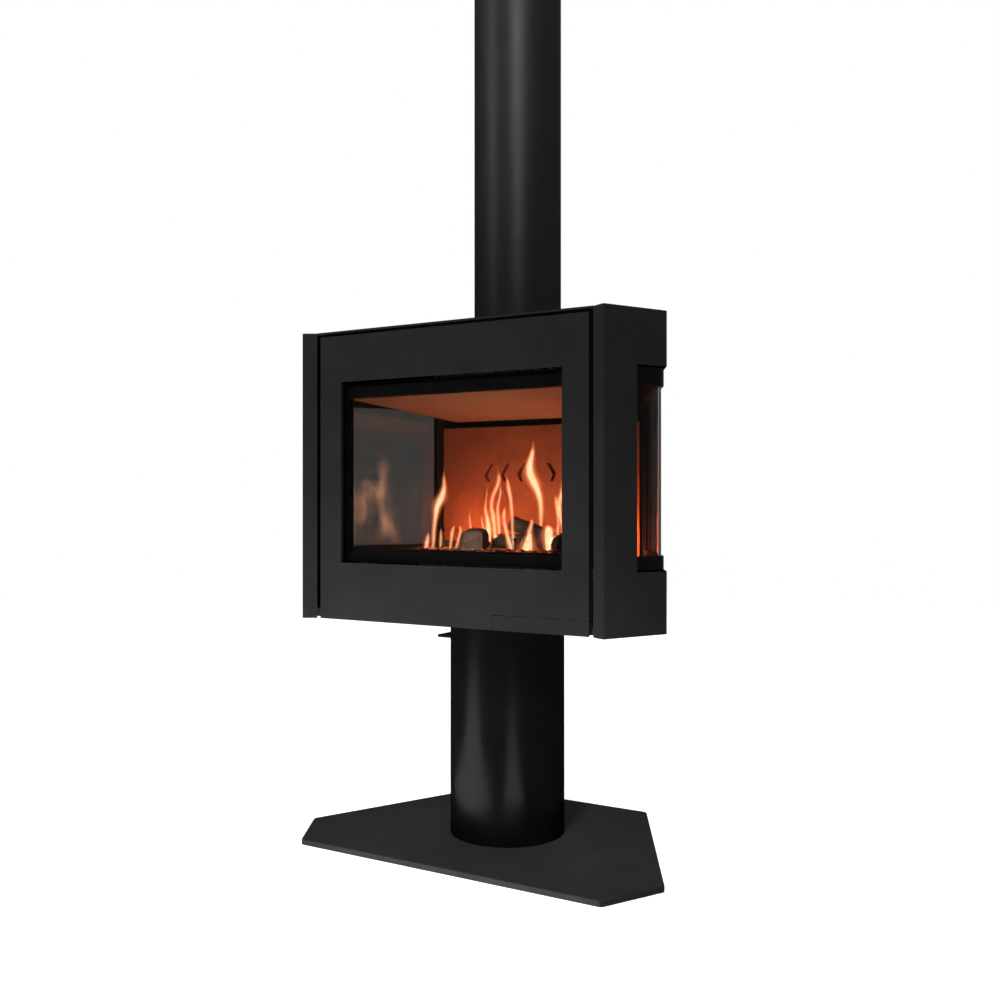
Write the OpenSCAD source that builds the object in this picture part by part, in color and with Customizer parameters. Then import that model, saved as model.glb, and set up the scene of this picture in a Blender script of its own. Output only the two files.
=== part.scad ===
// Pedestal gas fire: six-sided casing with a front window and a bent window round
// each side corner, a round column on a six-sided floor plate, and a concentric flue.
// The origin is on the floor at the column's axis. +Z is up and the front faces -Y.

/* [Floor plate] */
// Width of the plate's front edge
plate_front_w = 544; // [500:1:580]
// Width of the plate at its widest corners
plate_wide_w = 656; // [620:1:700]
// Width of the plate's rear edge
plate_rear_w = 334; // [300:1:380]
// Depth of the plate
plate_d = 426; // [400:1:460]
// Distance from the front edge back to the widest corners
plate_wide_y = 99; // [80:1:130]
// Thickness of the plate
plate_t = 10; // [8:0.5:15]
// Radius of the plate's corners
plate_corner_r = 8; // [4:0.5:16]
// Chamfer along the plate's top edge
plate_chamfer = 1.5; // [0.5:0.1:3]
// Diameter of the hole for the gas supply
supply_hole_d = 60; // [40:1:80]

/* [Column] */
// Outside diameter of the column tube
column_d = 193.7; // [170:0.1:210]
// Wall of the column tube
column_wall = 4; // [3:0.1:6]
// Thickness of the rings inside its ends
ring_t = 8; // [6:0.5:12]
// Inside diameter of the rings
ring_bore_d = 120; // [100:1:130]
// Circle on which the ring bolts stand
ring_bolt_circle = 152; // [146:1:156]
// Number of bolts in each ring
ring_bolts = 6; // [4:1:8]

/* [Casing] */
// Height of the casing's lower edge above the floor
casing_z = 375; // [340:1:420]
// Height of the casing
casing_h = 473; // [460:1:520]
// Width between the front corners
casing_front_w = 547; // [530:1:570]
// Width between the widest corners
casing_wide_w = 658; // [640:1:680]
// Width of the back
casing_rear_w = 340; // [320:1:360]
// Depth from the front corners to the back
casing_d = 420; // [410:1:440]
// Distance from the front corners back to the widest corners
casing_wide_y = 101; // [90:1:112]
// Sheet thickness of the side panels and the tray
sheet_t = 2; // [1.5:0.1:3]
// Width of the folded strip beside the front panel
return_w = 25; // [18:1:28]
// Angle at which that strip runs back
return_angle = 30; // [24:1:36]
// Thickness of the top cover
cover_t = 3; // [2:0.5:5]
// Width of the folded strip at the back edge
rear_fold_w = 16; // [12:1:24]

/* [Front panel] */
// Width of the front panel
panel_w = 490; // [470:1:496]
// Shadow gap between the front panel and the top cover
panel_top_gap = 5; // [3:0.5:9]
// Width of the window opening
window_w = 404; // [390:1:420]
// Height of the window opening
window_h = 296.5; // [280:0.5:310]
// Height of the opening's lower edge above the casing's lower edge
window_z = 93.5; // [88:0.5:110]
// Depth of the panel's folded edges
panel_fold = 12; // [8:1:14]

/* [Control flap] */
// Width of the flap
flap_w = 160; // [140:1:180]
// Height of the flap
flap_h = 22.5; // [20:0.5:28]
// Gap round the flap
flap_gap = 0.7; // [0.4:0.1:1.2]
// Diameter of the hinge pin
flap_pin_d = 3; // [2:0.5:4]
// Opening angle drawn, 0 is shut
flap_angle = 0; // [0:1:95]

/* [Side windows] */
// Notch length from the widest corner towards the front
notch_fore = 55; // [40:1:65]
// Notch length from the widest corner towards the back
notch_aft = 251; // [200:1:270]
// Height of the notch
notch_h = 299; // [280:1:310]
// Height of the notch's lower edge above the casing's lower edge
notch_z = 92; // [88:0.5:110]

/* [Glass] */
// Thickness of the panes
glass_t = 4; // [3:0.5:5]
// Outside bend radius of the side panes
glass_bend_r = 20; // [12:1:30]
// Clear height seen through the panes
clear_h = 249; // [230:1:256]
// Height of the clear part above the notch's lower edge
clear_z = 22; // [18:1:30]
// Clear width of the front pane
clear_w = 391; // [360:1:396]
// Thickness of the rope seals
rope_t = 4; // [3:0.5:6]
// Thickness of the frames that hold the panes
frame_t = 3; // [2:0.5:5]

/* [Fire chamber] */
// Distance from the front corners back to the chamber's back wall
back_wall_y = 314; // [300:1:322]
// Thickness of the back wall
back_wall_t = 12; // [8:1:16]
// Height of the slot between the back wall and the baffle
back_slot = 11; // [6:1:20]
// Thickness of the ceiling baffle
baffle_t = 6; // [4:0.5:8]
// Fall of the baffle from front to back
baffle_drop = 37; // [20:1:45]
// Depth of the burner tray
tray_d = 150; // [120:1:180]
// Width of the burner tray
tray_w = 300; // [250:1:330]
// Height of the burner tray
tray_h = 16; // [12:1:20]

/* [Controls] */
// Diameter of the two knobs
knob_d = 15; // [12:0.5:16]
// Diameter of the igniter button
button_d = 10; // [8:0.5:12]
// Travel of the igniter button
button_travel = 4; // [2:0.5:5]

/* [Flue] */
// Outside diameter of the outer flue pipe
flue_outer_d = 150; // [140:1:160]
// Outside diameter of the inner flue pipe
flue_inner_d = 100; // [90:1:110]
// Wall of the flue pipes
flue_wall = 1; // [0.8:0.1:2]
// Length of the flue section above the casing
flue_l = 1000; // [700:1:1200]
// Distance of the flue's axis behind the column's axis
flue_y = 36; // [20:1:50]

/* [Hidden] */
$fn = 64;
skin = 0.01;            // how far a cut runs past a face
run_gap = 0.05;         // radial clearance of a turning fit
seat_gap = 0.25;        // gap between curved faces that nearly touch

// Heights
casing_top = casing_z + casing_h;
cover_z = casing_top - cover_t;
tray_z = casing_z + 1;
tray_top = tray_z + sheet_t;
column_h = tray_z - plate_t;
notch_z0 = casing_z + notch_z;
clear_z0 = notch_z0 + clear_z;
clear_z1 = clear_z0 + clear_h;
window_z0 = casing_z + window_z;

// Plan of the casing: right half, front to back
front_y = -casing_d / 2 + 1;
rear_y = front_y + casing_d;
corner_f = [casing_front_w / 2, front_y];
corner_w = [casing_wide_w / 2, front_y + casing_wide_y];
corner_r = [casing_rear_w / 2, rear_y];
return_end = corner_f + return_w * [-cos(return_angle), sin(return_angle)];
panel_y = return_end[1];

// Layers behind the side window, measured inwards from the casing's outer face
bend_r = glass_bend_r + 7;
frame_in = sheet_t + 1.3;
glass_in = frame_in + frame_t + 0.7;
rope_in = glass_in + glass_t;
shell_in = rope_in + rope_t;
shell_t = 2;
frame_bar = 12;

// Layers of the front window, measured in Y
front_frame_y = panel_y + panel_fold + 1;
front_glass_y = front_frame_y + frame_t;
front_rope_y = front_glass_y + glass_t;
shell_front_y = front_rope_y + rope_t;
frame_side_bar = 24;
frame_cross_bar = 19;

// Chamber
shell_z0 = clear_z0 - 17;
shell_z1 = clear_z1 + 24;
floor_t = 2;
wall_face_y = front_y + back_wall_y;
shell_back_y = wall_face_y + back_wall_t + shell_t;
burner_y = -25;
bed_z = shell_z0 + tray_h;
baffle_front_y = shell_front_y + shell_t + 8;
baffle_rear_y = wall_face_y - 2;
baffle_front_z = shell_z1 - baffle_t - 3;
baffle_rear_z = baffle_front_z - baffle_drop;
wall_top_z = baffle_rear_z - back_slot;
box_z = shell_z1 + shell_t;
box_h = 36;

// Controls behind the flap
flap_x1 = panel_w / 2;
flap_x0 = flap_x1 - flap_w;
control_y = panel_y + panel_fold + 8;
knob_x = [flap_x0 + 36, flap_x0 + 80];
button_x = flap_x0 + 122;
knob_z = casing_z + 12.5;
shaft_d = 6;
valve_x = [knob_x[0] - 14, knob_x[1] + 16];
valve_y = [control_y + 16, control_y + 78];
valve_h = 42;

function unit(v) = v / norm(v);
function left_of(a, b) = let (d = unit(b - a)) [-d[1], d[0]];
function reversed(p) = [for (i = [len(p) - 1:-1:0]) p[i]];
function mirrored(p) = [for (q = p) [-q[0], q[1]]];
function wide_outline(right) = concat(right, reversed(mirrored(right)));
function at_y(a, b, y) = a + (b - a) * (y - a[1]) / (b[1] - a[1]);

// An open path moved d to its left, mitred at the corners
function shifted(p, d) = [
    for (i = [0:len(p) - 1])
        let (before = left_of(p[max(i - 1, 0)], p[max(i, 1)]))
        let (after = left_of(p[min(i, len(p) - 2)], p[min(i + 1, len(p) - 1)]))
        let (mitre = unit(before + after))
        p[i] + mitre * d / (mitre * before)
];

// Points of an arc of radius r that rounds the corner b between a and c
function corner_arc(a, b, c, r, steps) =
    let (u = unit(a - b), v = unit(c - b))
    let (half = acos(u * v) / 2)
    let (centre = b + unit(u + v) * r / sin(half))
    let (from = b + u * r / tan(half) - centre, to = b + v * r / tan(half) - centre)
    let (a0 = atan2(from[1], from[0]), turn = atan2(to[1], to[0]) - a0)
    let (sweep = turn > 180 ? turn - 360 : (turn < -180 ? turn + 360 : turn))
    [for (k = [0:steps]) centre + r * [cos(a0 + sweep * k / steps), sin(a0 + sweep * k / steps)]];

// An open path with its inner corners rounded
function rounded(p, r, steps = 6) = [
    for (i = [0:len(p) - 1])
        each (i == 0 || i == len(p) - 1)
            ? [p[i]]
            : corner_arc(p[i - 1], p[i], p[i + 1], r, steps)
];

// A closed outline with all its corners rounded
function rounded_ring(p, r, steps = 5) = [
    for (i = [0:len(p) - 1])
        each corner_arc(p[(i + len(p) - 1) % len(p)], p[i], p[(i + 1) % len(p)], r, steps)
];

// Casing outline set d inwards, cut off at front and back
function casing_inset(d, y0, y1) =
    let (line = shifted([corner_f, corner_w, corner_r], d))
    [at_y(line[0], line[1], y0), line[1], at_y(line[1], line[2], y1)];

// Band that follows the side window between two depths below the casing's face
function window_run(fore, aft, d) = shifted(rounded([
    corner_w + unit(corner_f - corner_w) * fore,
    corner_w,
    corner_w + unit(corner_r - corner_w) * aft
], bend_r), d);

module window_band(fore, aft, d0, d1, z0, z1) {
    translate([0, 0, z0])
        linear_extrude(z1 - z0)
            polygon(concat(window_run(fore, aft, d0), reversed(window_run(fore, aft, d1))));
}

module both_sides() {
    children();
    mirror([1, 0, 0]) children();
}

// Folded sheet along a path, with its thickness on the path's left
module folded_sheet(path, thick, z0, z1) {
    translate([0, 0, z0])
        linear_extrude(z1 - z0)
            polygon(concat(path, reversed(shifted(path, thick))));
}

module block(x0, x1, y0, y1, z0, z1) {
    translate([x0, y0, z0]) cube([x1 - x0, y1 - y0, z1 - z0]);
}

module tube(outer_d, inner_d, z0, z1) {
    translate([0, 0, z0]) difference() {
        cylinder(d = outer_d, h = z1 - z0, $fn = 96);
        translate([0, 0, -skin]) cylinder(d = inner_d, h = z1 - z0 + 2 * skin, $fn = 96);
    }
}

// Open-topped box of thin sheet
module pan(x0, x1, y0, y1, z0, z1, t) {
    difference() {
        block(x0, x1, y0, y1, z0, z1);
        block(x0 + t, x1 - t, y0 + t, y1 - t, z0 + t, z1 + skin);
    }
}

// Straight run of pipe along +X from the origin
module pipe_run(d, l) {
    rotate([0, 90, 0]) cylinder(d = d, h = l, $fn = 32);
}

// Quarter bend from the origin: leaves along +X and turns to +Y, drawn thinner by the bending
module pipe_bend(d, r) {
    translate([0, r, 0]) rotate(-90) rotate_extrude(angle = 90, $fn = 48)
        translate([r, 0]) circle(d = d - 0.1, $fn = 32);
}

module on_bolt_circle() {
    for (i = [0:ring_bolts - 1])
        rotate(360 / ring_bolts * (i + 0.5))
            translate([ring_bolt_circle / 2, 0, 0])
                children();
}

// ---------------------------------------------------------------- stand

bolt_d = 8;
bolt_head_d = 15;
bolt_head_h = 4.4;
hole_clearance = 0.5;
supply_x = 0;
supply_d = 15;
supply_bend_r = 20;
supply_run_z = tray_top + 24;
supply_in_y = valve_y[0] + 24;

function plate_right() = [
    [plate_front_w / 2, -plate_d / 2],
    [plate_wide_w / 2, -plate_d / 2 + plate_wide_y],
    [plate_rear_w / 2, plate_d / 2]
];

module plate_outline(inset) {
    polygon(rounded_ring(wide_outline(shifted_plate(inset)), plate_corner_r - inset));
}

function shifted_plate(d) =
    let (line = shifted(plate_right(), d))
    [at_y(line[0], line[1], -plate_d / 2 + d), line[1], at_y(line[1], line[2], plate_d / 2 - d)];

module base_plate() {
    color("#2b2b2b") difference() {
        hull() {
            linear_extrude(plate_t - plate_chamfer) plate_outline(0);
            linear_extrude(plate_t) plate_outline(plate_chamfer);
        }
        translate([0, 0, -1]) cylinder(d = supply_hole_d, h = plate_t + 2);
        on_bolt_circle() {
            translate([0, 0, -1]) cylinder(d = bolt_d + hole_clearance, h = plate_t + 2, $fn = 32);
            translate([0, 0, -1])
                cylinder(d = bolt_head_d + hole_clearance, h = bolt_head_h + 1.4, $fn = 32);
        }
    }
}

slot_w = 46;
slot_h = 34;

module column() {
    color("#1d1d1d") difference() {
        tube(column_d, column_d - 2 * column_wall, plate_t, tray_z);
        // passage for the supply pipe at the back
        translate([0, 0, plate_t + slot_h])
            rotate([-90, 0, 0]) cylinder(d = slot_w, h = column_d, $fn = 48);
        block(-slot_w / 2, slot_w / 2, 0, column_d, plate_t - 1, plate_t + slot_h);
    }
}

module inner_ring(z0) {
    difference() {
        tube(column_d - 2 * column_wall - 2 * seat_gap, ring_bore_d, z0, z0 + ring_t);
        translate([0, 0, z0 - 1])
            on_bolt_circle() cylinder(d = bolt_d + hole_clearance, h = ring_t + 2, $fn = 32);
    }
}

module foot_ring() { color("#3a3a3a") inner_ring(plate_t); }

module head_ring() { color("#3a3a3a") inner_ring(tray_z - ring_t); }

// Low cap screw from under the plate with a nut on the foot ring
module foot_bolts() {
    color("#8a8a8a") on_bolt_circle() {
        translate([0, 0, 1]) cylinder(d = bolt_head_d, h = bolt_head_h - 0.6, $fn = 32);
        translate([0, 0, bolt_head_h])
            cylinder(d = bolt_d, h = plate_t + ring_t + 9 - bolt_head_h, $fn = 32);
        translate([0, 0, plate_t + ring_t]) cylinder(d = 14.4, h = 6.5, $fn = 6);
    }
}

module head_bolts() {
    color("#8a8a8a") on_bolt_circle() {
        translate([0, 0, tray_z - ring_t - 5.3]) cylinder(d = 14.4, h = 5.3, $fn = 6);
        translate([0, 0, tray_z - ring_t]) cylinder(d = bolt_d, h = ring_t + sheet_t + 9, $fn = 32);
        translate([0, 0, tray_top]) cylinder(d = 14.4, h = 6.5, $fn = 6);
    }
}

// Route of the gas supply: up the column, forward over the tray, then into the valve's side
module supply_route(d, over) {
    r = supply_bend_r;
    translate([supply_x, 0, -over])
        cylinder(d = d, h = supply_run_z - r + over, $fn = 32);
    translate([supply_x, 0, supply_run_z - r]) rotate([0, -90, 0])
        mirror([0, 1, 0]) pipe_bend(d, r);
    translate([supply_x, -r, supply_run_z]) rotate(-90) pipe_run(d, -supply_in_y - 2 * r);
    translate([supply_x, supply_in_y + r, supply_run_z]) rotate(-90) pipe_bend(d, r);
    translate([supply_x + r, supply_in_y, supply_run_z])
        pipe_run(d, valve_x[0] - supply_x - r + over);
}

module supply_pipe() {
    color("#b08a4a") difference() {
        union() {
            supply_route(supply_d, 0);
            translate([supply_x, 0, 0]) cylinder(d = 24, h = 16, $fn = 6);
            translate([valve_x[0] - 14, supply_in_y, supply_run_z]) rotate([0, 90, 0])
                cylinder(d = 24, h = 14, $fn = 6);
        }
        supply_route(supply_d - 3, 1);
    }
}

shelf_x = -148;
shelf_y = 9;
shelf_d = 92;
shelf_z = casing_z - 45;
shelf_lip = 5;
shelf_t = 2;
shelf_reach = 80;

// Bracket that hugs the column's rear left side
module receiver_shelf() {
    color("#1a1a1a") difference() {
        union() {
            block(shelf_x, shelf_x + shelf_reach, shelf_y, shelf_y + shelf_d,
                shelf_z, shelf_z + shelf_t);
            block(shelf_x, shelf_x + shelf_reach, shelf_y, shelf_y + shelf_t,
                shelf_z + shelf_t - shelf_lip, shelf_z + shelf_t);
            block(shelf_x, shelf_x + shelf_t, shelf_y, shelf_y + shelf_d,
                shelf_z + shelf_t - shelf_lip, shelf_z + shelf_t);
        }
        translate([0, 0, shelf_z - shelf_lip - 1])
            cylinder(d = column_d + 0.2, h = shelf_lip * 2 + 6, $fn = 96);
    }
}

module receiver_box() {
    color("#262626") difference() {
        block(shelf_x + 12, shelf_x + 52, shelf_y + 40, shelf_y + 88,
            shelf_z + shelf_t, shelf_z + shelf_t + 24);
        block(shelf_x + 18, shelf_x + 46, shelf_y + 87, shelf_y + 90,
            shelf_z + 8, shelf_z + 20);
        for (x = [shelf_x + 12, shelf_x + 52])
            block(x - 0.8, x + 0.8, shelf_y + 40, shelf_y + 89,
                shelf_z + shelf_t + 15, shelf_z + shelf_t + 16);
    }
}

// ---------------------------------------------------------------- casing

fold_r = sheet_t + 0.8;
side_path = rounded([
    return_end, corner_f, corner_w, corner_r, corner_r + [-rear_fold_w, 0]
], fold_r, 4);
tray_front_y = front_frame_y + 3;

module side_panel() {
    difference() {
        folded_sheet(side_path, sheet_t, casing_z, casing_top - 0.5);
        window_band(notch_fore, notch_aft, -6, 12, notch_z0, notch_z0 + notch_h);
    }
}

module right_side_panel() { color("#1c1c1c") side_panel(); }

module left_side_panel() { color("#1c1c1c") mirror([1, 0, 0]) side_panel(); }

tray_lip = 14;
tray_bore_d = 124;
inner_r = 3;

module casing_tray() {
    inset = rounded(casing_inset(sheet_t, tray_front_y, rear_y - 2 * sheet_t), inner_r, 4);
    inner = rounded(casing_inset(2 * sheet_t, tray_front_y + sheet_t, rear_y - 3 * sheet_t),
        inner_r, 4);
    color("#202020") difference() {
        translate([0, 0, tray_z]) linear_extrude(tray_lip) polygon(wide_outline(inset));
        translate([0, 0, tray_top]) linear_extrude(tray_lip) polygon(wide_outline(inner));
        translate([0, 0, tray_z - 1]) cylinder(d = tray_bore_d, h = sheet_t + 2);
        translate([0, 0, tray_z - 1])
            on_bolt_circle() cylinder(d = bolt_d + hole_clearance, h = sheet_t + 2, $fn = 32);
        // room for the controls behind the flap
        block(panel_w / 2 - flap_w - 4, panel_w / 2 - 6, tray_front_y - 1,
            tray_front_y + sheet_t + skin, tray_top, tray_z + tray_lip + 1);
        for (x = [-200:40:200], y = [105, 150])
            if (abs(x) < 190 - (y - 60) * 0.5)
                translate([x, y, tray_z - 1]) cylinder(d = 18, h = sheet_t + 2, $fn = 32);
    }
}

rear_slot_w = 60;
rear_slot_h = 7;
rear_slot_rows = 5;
rear_slot_pitch = 16;

module round_slot(x, z, w, h, depth) {
    translate([x, rear_y + 5, z]) rotate([90, 0, 0]) {
        for (s = [-1, 1])
            translate([s * (w - h) / 2, 0, 0]) cylinder(d = h, h = depth, $fn = 24);
        translate([-(w - h) / 2, -h / 2, 0]) cube([w - h, h, depth]);
    }
}

module slot_rows(z) {
    for (row = [0:rear_slot_rows - 1], col = [-1:1])
        round_slot(col * (rear_slot_w + 20), z + row * rear_slot_pitch, rear_slot_w, rear_slot_h, 20);
}

module rear_panel() {
    half = casing_rear_w / 2 - sheet_t - 3;
    color("#1b1b1b") difference() {
        union() {
            block(-half, half, rear_y - 2 * sheet_t, rear_y - sheet_t, casing_z + 0.5, cover_z);
            for (z = [tray_top + tray_lip, cover_z - 12 - sheet_t])
                block(-half + 8, half - 8, rear_y - 12 - sheet_t, rear_y - sheet_t, z, z + sheet_t);
        }
        slot_rows(casing_z + 50);
        slot_rows(casing_top - 50 - rear_slot_pitch * (rear_slot_rows - 1));
    }
}

module top_cover() {
    edge = shifted([return_end, corner_f, corner_w, corner_r], sheet_t + 0.05);
    color("#1e1e1e") difference() {
        translate([0, 0, cover_z]) linear_extrude(cover_t)
            polygon(wide_outline(concat([return_end - [0.3, 0]], rounded([
                edge[0], edge[1], edge[2], at_y(edge[2], edge[3], rear_y - sheet_t)
            ], inner_r, 4))));
        translate([0, flue_y, cover_z - 1])
            cylinder(d = flue_outer_d + 2 * seat_gap, h = cover_t + 2, $fn = 96);
    }
}

screw_d = 5;
screw_head_d = 9;
screw_head_h = 2;
rear_screw_x = casing_rear_w / 2 - rear_fold_w / 2 - 2;

// Button-head screws in the back folds
module casing_screws() {
    color("#2f2f2f") both_sides()
        for (z = [casing_z + 30, casing_z + casing_h / 2, casing_top - 30])
            translate([rear_screw_x, rear_y, z]) rotate([-90, 0, 0])
                rotate_extrude($fn = 24)
                    polygon([[0, 0], [screw_head_d / 2, 0], [screw_head_d / 2, 1],
                        [screw_head_d / 2 - 1.4, screw_head_h], [0, screw_head_h]]);
}

panel_top = cover_z - panel_top_gap;
flap_top = casing_z + 0.3 + flap_h;
pin_y = panel_y + 5;
pin_z = casing_z + 4.3;
ear_t = 2.5;
ear_d = flap_pin_d + 2;
knuckle_d = flap_pin_d + 3;
knuckle_l = 10;

module front_panel() {
    z0 = casing_z + 0.3;
    color("#262626") difference() {
        union() {
            difference() {
                block(-panel_w / 2, panel_w / 2, panel_y, panel_y + panel_fold, z0, panel_top);
                block(-panel_w / 2 + sheet_t, panel_w / 2 - sheet_t, panel_y + sheet_t,
                    panel_y + panel_fold + skin, z0 + sheet_t, panel_top - sheet_t);
            }
            // lip turned in round the window
            block(-window_w / 2 - sheet_t, window_w / 2 + sheet_t, panel_y + sheet_t / 2,
                panel_y + 6, window_z0 - sheet_t, window_z0 + window_h + sheet_t);
        }
        block(-window_w / 2, window_w / 2, panel_y - 1, panel_y + panel_fold + 1,
            window_z0, window_z0 + window_h);
        block(flap_x0 - flap_gap, panel_w / 2 + 1, panel_y - 1, panel_y + panel_fold + 1,
            z0 - 1, flap_top + flap_gap);
        block(-panel_w / 2 + 60, flap_x0 - 20, panel_y + sheet_t, panel_y + panel_fold + 1,
            z0 - 1, z0 + sheet_t + skin);
    }
    // ears that carry the flap's pin, and a tab for the magnet
    color("#262626") for (x = [flap_x0 + 1, flap_x1 - 1 - ear_t]) flap_ear(x);
    color("#262626") block(magnet_x - 8, magnet_x + 8, panel_y + sheet_t + magnet_t,
        panel_y + sheet_t + magnet_t + 1.5, flap_top - magnet_d, flap_top + flap_gap + 8);
    color("#262626") block(magnet_x - 8, magnet_x + 8, panel_y + sheet_t / 2,
        panel_y + sheet_t + magnet_t + 1.5, flap_top + flap_gap + 2, flap_top + flap_gap + 8);
}

module flap_ear(x) {
    difference() {
        union() {
            translate([x, pin_y, pin_z]) rotate([0, 90, 0])
                cylinder(d = ear_d, h = ear_t, $fn = 32);
            block(x, x + ear_t, pin_y, panel_y + panel_fold,
                pin_z - ear_d / 2, flap_top + flap_gap + 6);
            block(x, x + ear_t, panel_y + sheet_t / 2, panel_y + panel_fold,
                flap_top + flap_gap + 1, flap_top + flap_gap + 6);
        }
        translate([x - 1, pin_y, pin_z]) rotate([0, 90, 0])
            cylinder(d = flap_pin_d + 0.02, h = ear_t + 2, $fn = 32);
    }
}

magnet_x = flap_x0 + 101;
magnet_d = 8;
magnet_t = 2.2;

// Disc that holds the flap shut
module flap_magnet() {
    color("#b9bcc0")
        translate([magnet_x, panel_y + sheet_t + 0.1, flap_top - magnet_d / 2]) rotate([-90, 0, 0])
            cylinder(d = magnet_d, h = magnet_t - 0.1, $fn = 32);
}

module flap_hinge_pin() {
    color("#9a9a9a") translate([flap_x0 + 1, pin_y, pin_z]) rotate([0, 90, 0])
        cylinder(d = flap_pin_d, h = flap_w - 2, $fn = 32);
}

module control_flap() {
    color("#262626")
        translate([0, pin_y, pin_z]) rotate([flap_angle, 0, 0]) translate([0, -pin_y, -pin_z])
            difference() {
                union() {
                    block(flap_x0, flap_x1, panel_y, panel_y + sheet_t, casing_z + 0.3, flap_top);
                    for (x = [flap_x0 + ear_t + 2, flap_x1 - ear_t - 2 - knuckle_l]) {
                        translate([x, pin_y, pin_z]) rotate([0, 90, 0])
                            cylinder(d = knuckle_d, h = knuckle_l, $fn = 32);
                        block(x, x + knuckle_l, panel_y + sheet_t / 2, pin_y,
                            pin_z - 1.5, pin_z + knuckle_d / 2);
                    }
                }
                translate([flap_x0 - 1, pin_y, pin_z]) rotate([0, 90, 0])
                    cylinder(d = flap_pin_d + 2 * run_gap, h = flap_w + 2, $fn = 32);
            }
}

hanger_w = 40;
hanger_drop = 40;
hanger_t = 2;
hanger_y = panel_y + panel_fold - 4;
hanger_x = panel_w / 2 - 95;
foot_angle_w = 28;
foot_angle_x = [-200, 30];

// Angle brackets under the cover and on the tray that the front panel hangs and rests on
module panel_hangers() {
    color("#2c2c2c") both_sides() {
        translate([hanger_x, 0, 0]) {
            low = panel_top - hanger_drop;
            block(-hanger_w / 2, hanger_w / 2, hanger_y + 8, hanger_y + 24,
                cover_z - hanger_t, cover_z);
            block(-hanger_w / 2, hanger_w / 2, hanger_y + 8, hanger_y + 8 + hanger_t, low, cover_z);
            block(-hanger_w / 2, hanger_w / 2, panel_y + sheet_t, hanger_y + 8 + hanger_t,
                low, low + hanger_t);
            block(-hanger_w / 2, hanger_w / 2, panel_y + sheet_t, panel_y + sheet_t + hanger_t,
                low, panel_top - sheet_t);
        }
    }
    color("#2c2c2c") for (x = foot_angle_x) {
        block(x - foot_angle_w / 2, x + foot_angle_w / 2, tray_front_y - hanger_t, tray_front_y,
            tray_z, tray_z + foot_angle_w + 2);
        block(x - foot_angle_w / 2 + 4, x + foot_angle_w / 2 - 4, panel_y + sheet_t,
            tray_front_y - hanger_t, tray_z + foot_angle_w - 10, tray_z + foot_angle_w);
    }
}

// ---------------------------------------------------------------- fire chamber

module chamber_outline(d) {
    line = casing_inset(shell_in + d, shell_front_y + d, shell_back_y - d);
    polygon(wide_outline(rounded([line[0], line[1], line[2]], max(bend_r - shell_in - d, 1))));
}

module chamber_shell() {
    color("#151515") difference() {
        translate([0, 0, shell_z0]) linear_extrude(shell_z1 - shell_z0) difference() {
            chamber_outline(0);
            chamber_outline(shell_t);
        }
        block(-clear_w / 2, clear_w / 2, shell_front_y - 5, shell_front_y + 5, clear_z0, clear_z1);
        both_sides()
            window_band(notch_fore, notch_aft - frame_bar, shell_in - 3, shell_in + 6,
                clear_z0, clear_z1);
    }
}

leg_x = [196, 150];
leg_y = [-120, 85];

module chamber_floor() {
    color("#151515") difference() {
        translate([0, 0, shell_z0 - floor_t]) linear_extrude(floor_t) chamber_outline(0);
        translate([0, burner_y, shell_z0 - floor_t - 1]) cylinder(d = 44, h = floor_t + 2);
    }
}

module chamber_roof() {
    color("#151515") difference() {
        translate([0, 0, shell_z1]) linear_extrude(shell_t) chamber_outline(0);
        translate([0, flue_y, shell_z1 - 1])
            cylinder(d = flue_inner_d - 2 * flue_wall - 4, h = shell_t + 2);
    }
}

module chamber_legs() {
    color("#242424") both_sides() for (i = [0, 1])
        translate([leg_x[i], leg_y[i], tray_top]) {
            cube([30, 2, shell_z0 - floor_t - tray_top]);
            cube([2, 30, shell_z0 - floor_t - tray_top]);
            cube([30, 30, 2]);
            translate([0, 0, shell_z0 - floor_t - tray_top - 2]) cube([30, 30, 2]);
        }
}

chevron_x = [36, 70, 105];
chevron_z = 128;

// Chevron slot, its point towards the side
module chevron() {
    linear_extrude(back_wall_t + 2)
        polygon([[-15, 20], [-9, 20], [2.5, 2], [2.5, -2], [-3, -12], [-8, -12], [-3.5, 0]]);
}

module back_wall() {
    half = at_y_inner(wall_face_y + back_wall_t);
    color("#8a4526") difference() {
        block(-half, half, wall_face_y, wall_face_y + back_wall_t, shell_z0, wall_top_z);
        both_sides() for (x = chevron_x)
            translate([x, wall_face_y + back_wall_t + 1, clear_z0 + chevron_z])
                rotate([90, 0, 0]) chevron();
    }
}

function at_y_inner(y) =
    let (line = shifted([corner_w, corner_r], shell_in + shell_t))
    at_y(line[0], line[1], y)[0] - 0.3;

module ceiling_baffle() {
    front_half = at_y_inner_front(baffle_front_y);
    rear_half = at_y_inner(baffle_rear_y) - 38;
    color("#7a3c20") hull() {
        translate([0, 0, baffle_front_z]) linear_extrude(baffle_t)
            polygon([[-front_half, baffle_front_y], [front_half, baffle_front_y],
                [front_half - 1, baffle_front_y + 2], [1 - front_half, baffle_front_y + 2]]);
        translate([0, 0, baffle_rear_z]) linear_extrude(baffle_t)
            polygon([[-rear_half - 1, baffle_rear_y - 2], [rear_half + 1, baffle_rear_y - 2],
                [rear_half, baffle_rear_y], [-rear_half, baffle_rear_y]]);
    }
    // hanger strips up to the roof
    color("#2a2a2a") both_sides() {
        block(100, 103, baffle_front_y + 6, baffle_front_y + 26, baffle_front_z + baffle_t - 1.5,
            shell_z1);
        block(100, 103, baffle_rear_y - 30, baffle_rear_y - 10,
            baffle_rear_z + baffle_t + 1, shell_z1);
    }
}

function at_y_inner_front(y) =
    let (line = shifted([corner_f, corner_w], shell_in + shell_t))
    at_y(line[0], line[1], y)[0] - 6;

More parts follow.
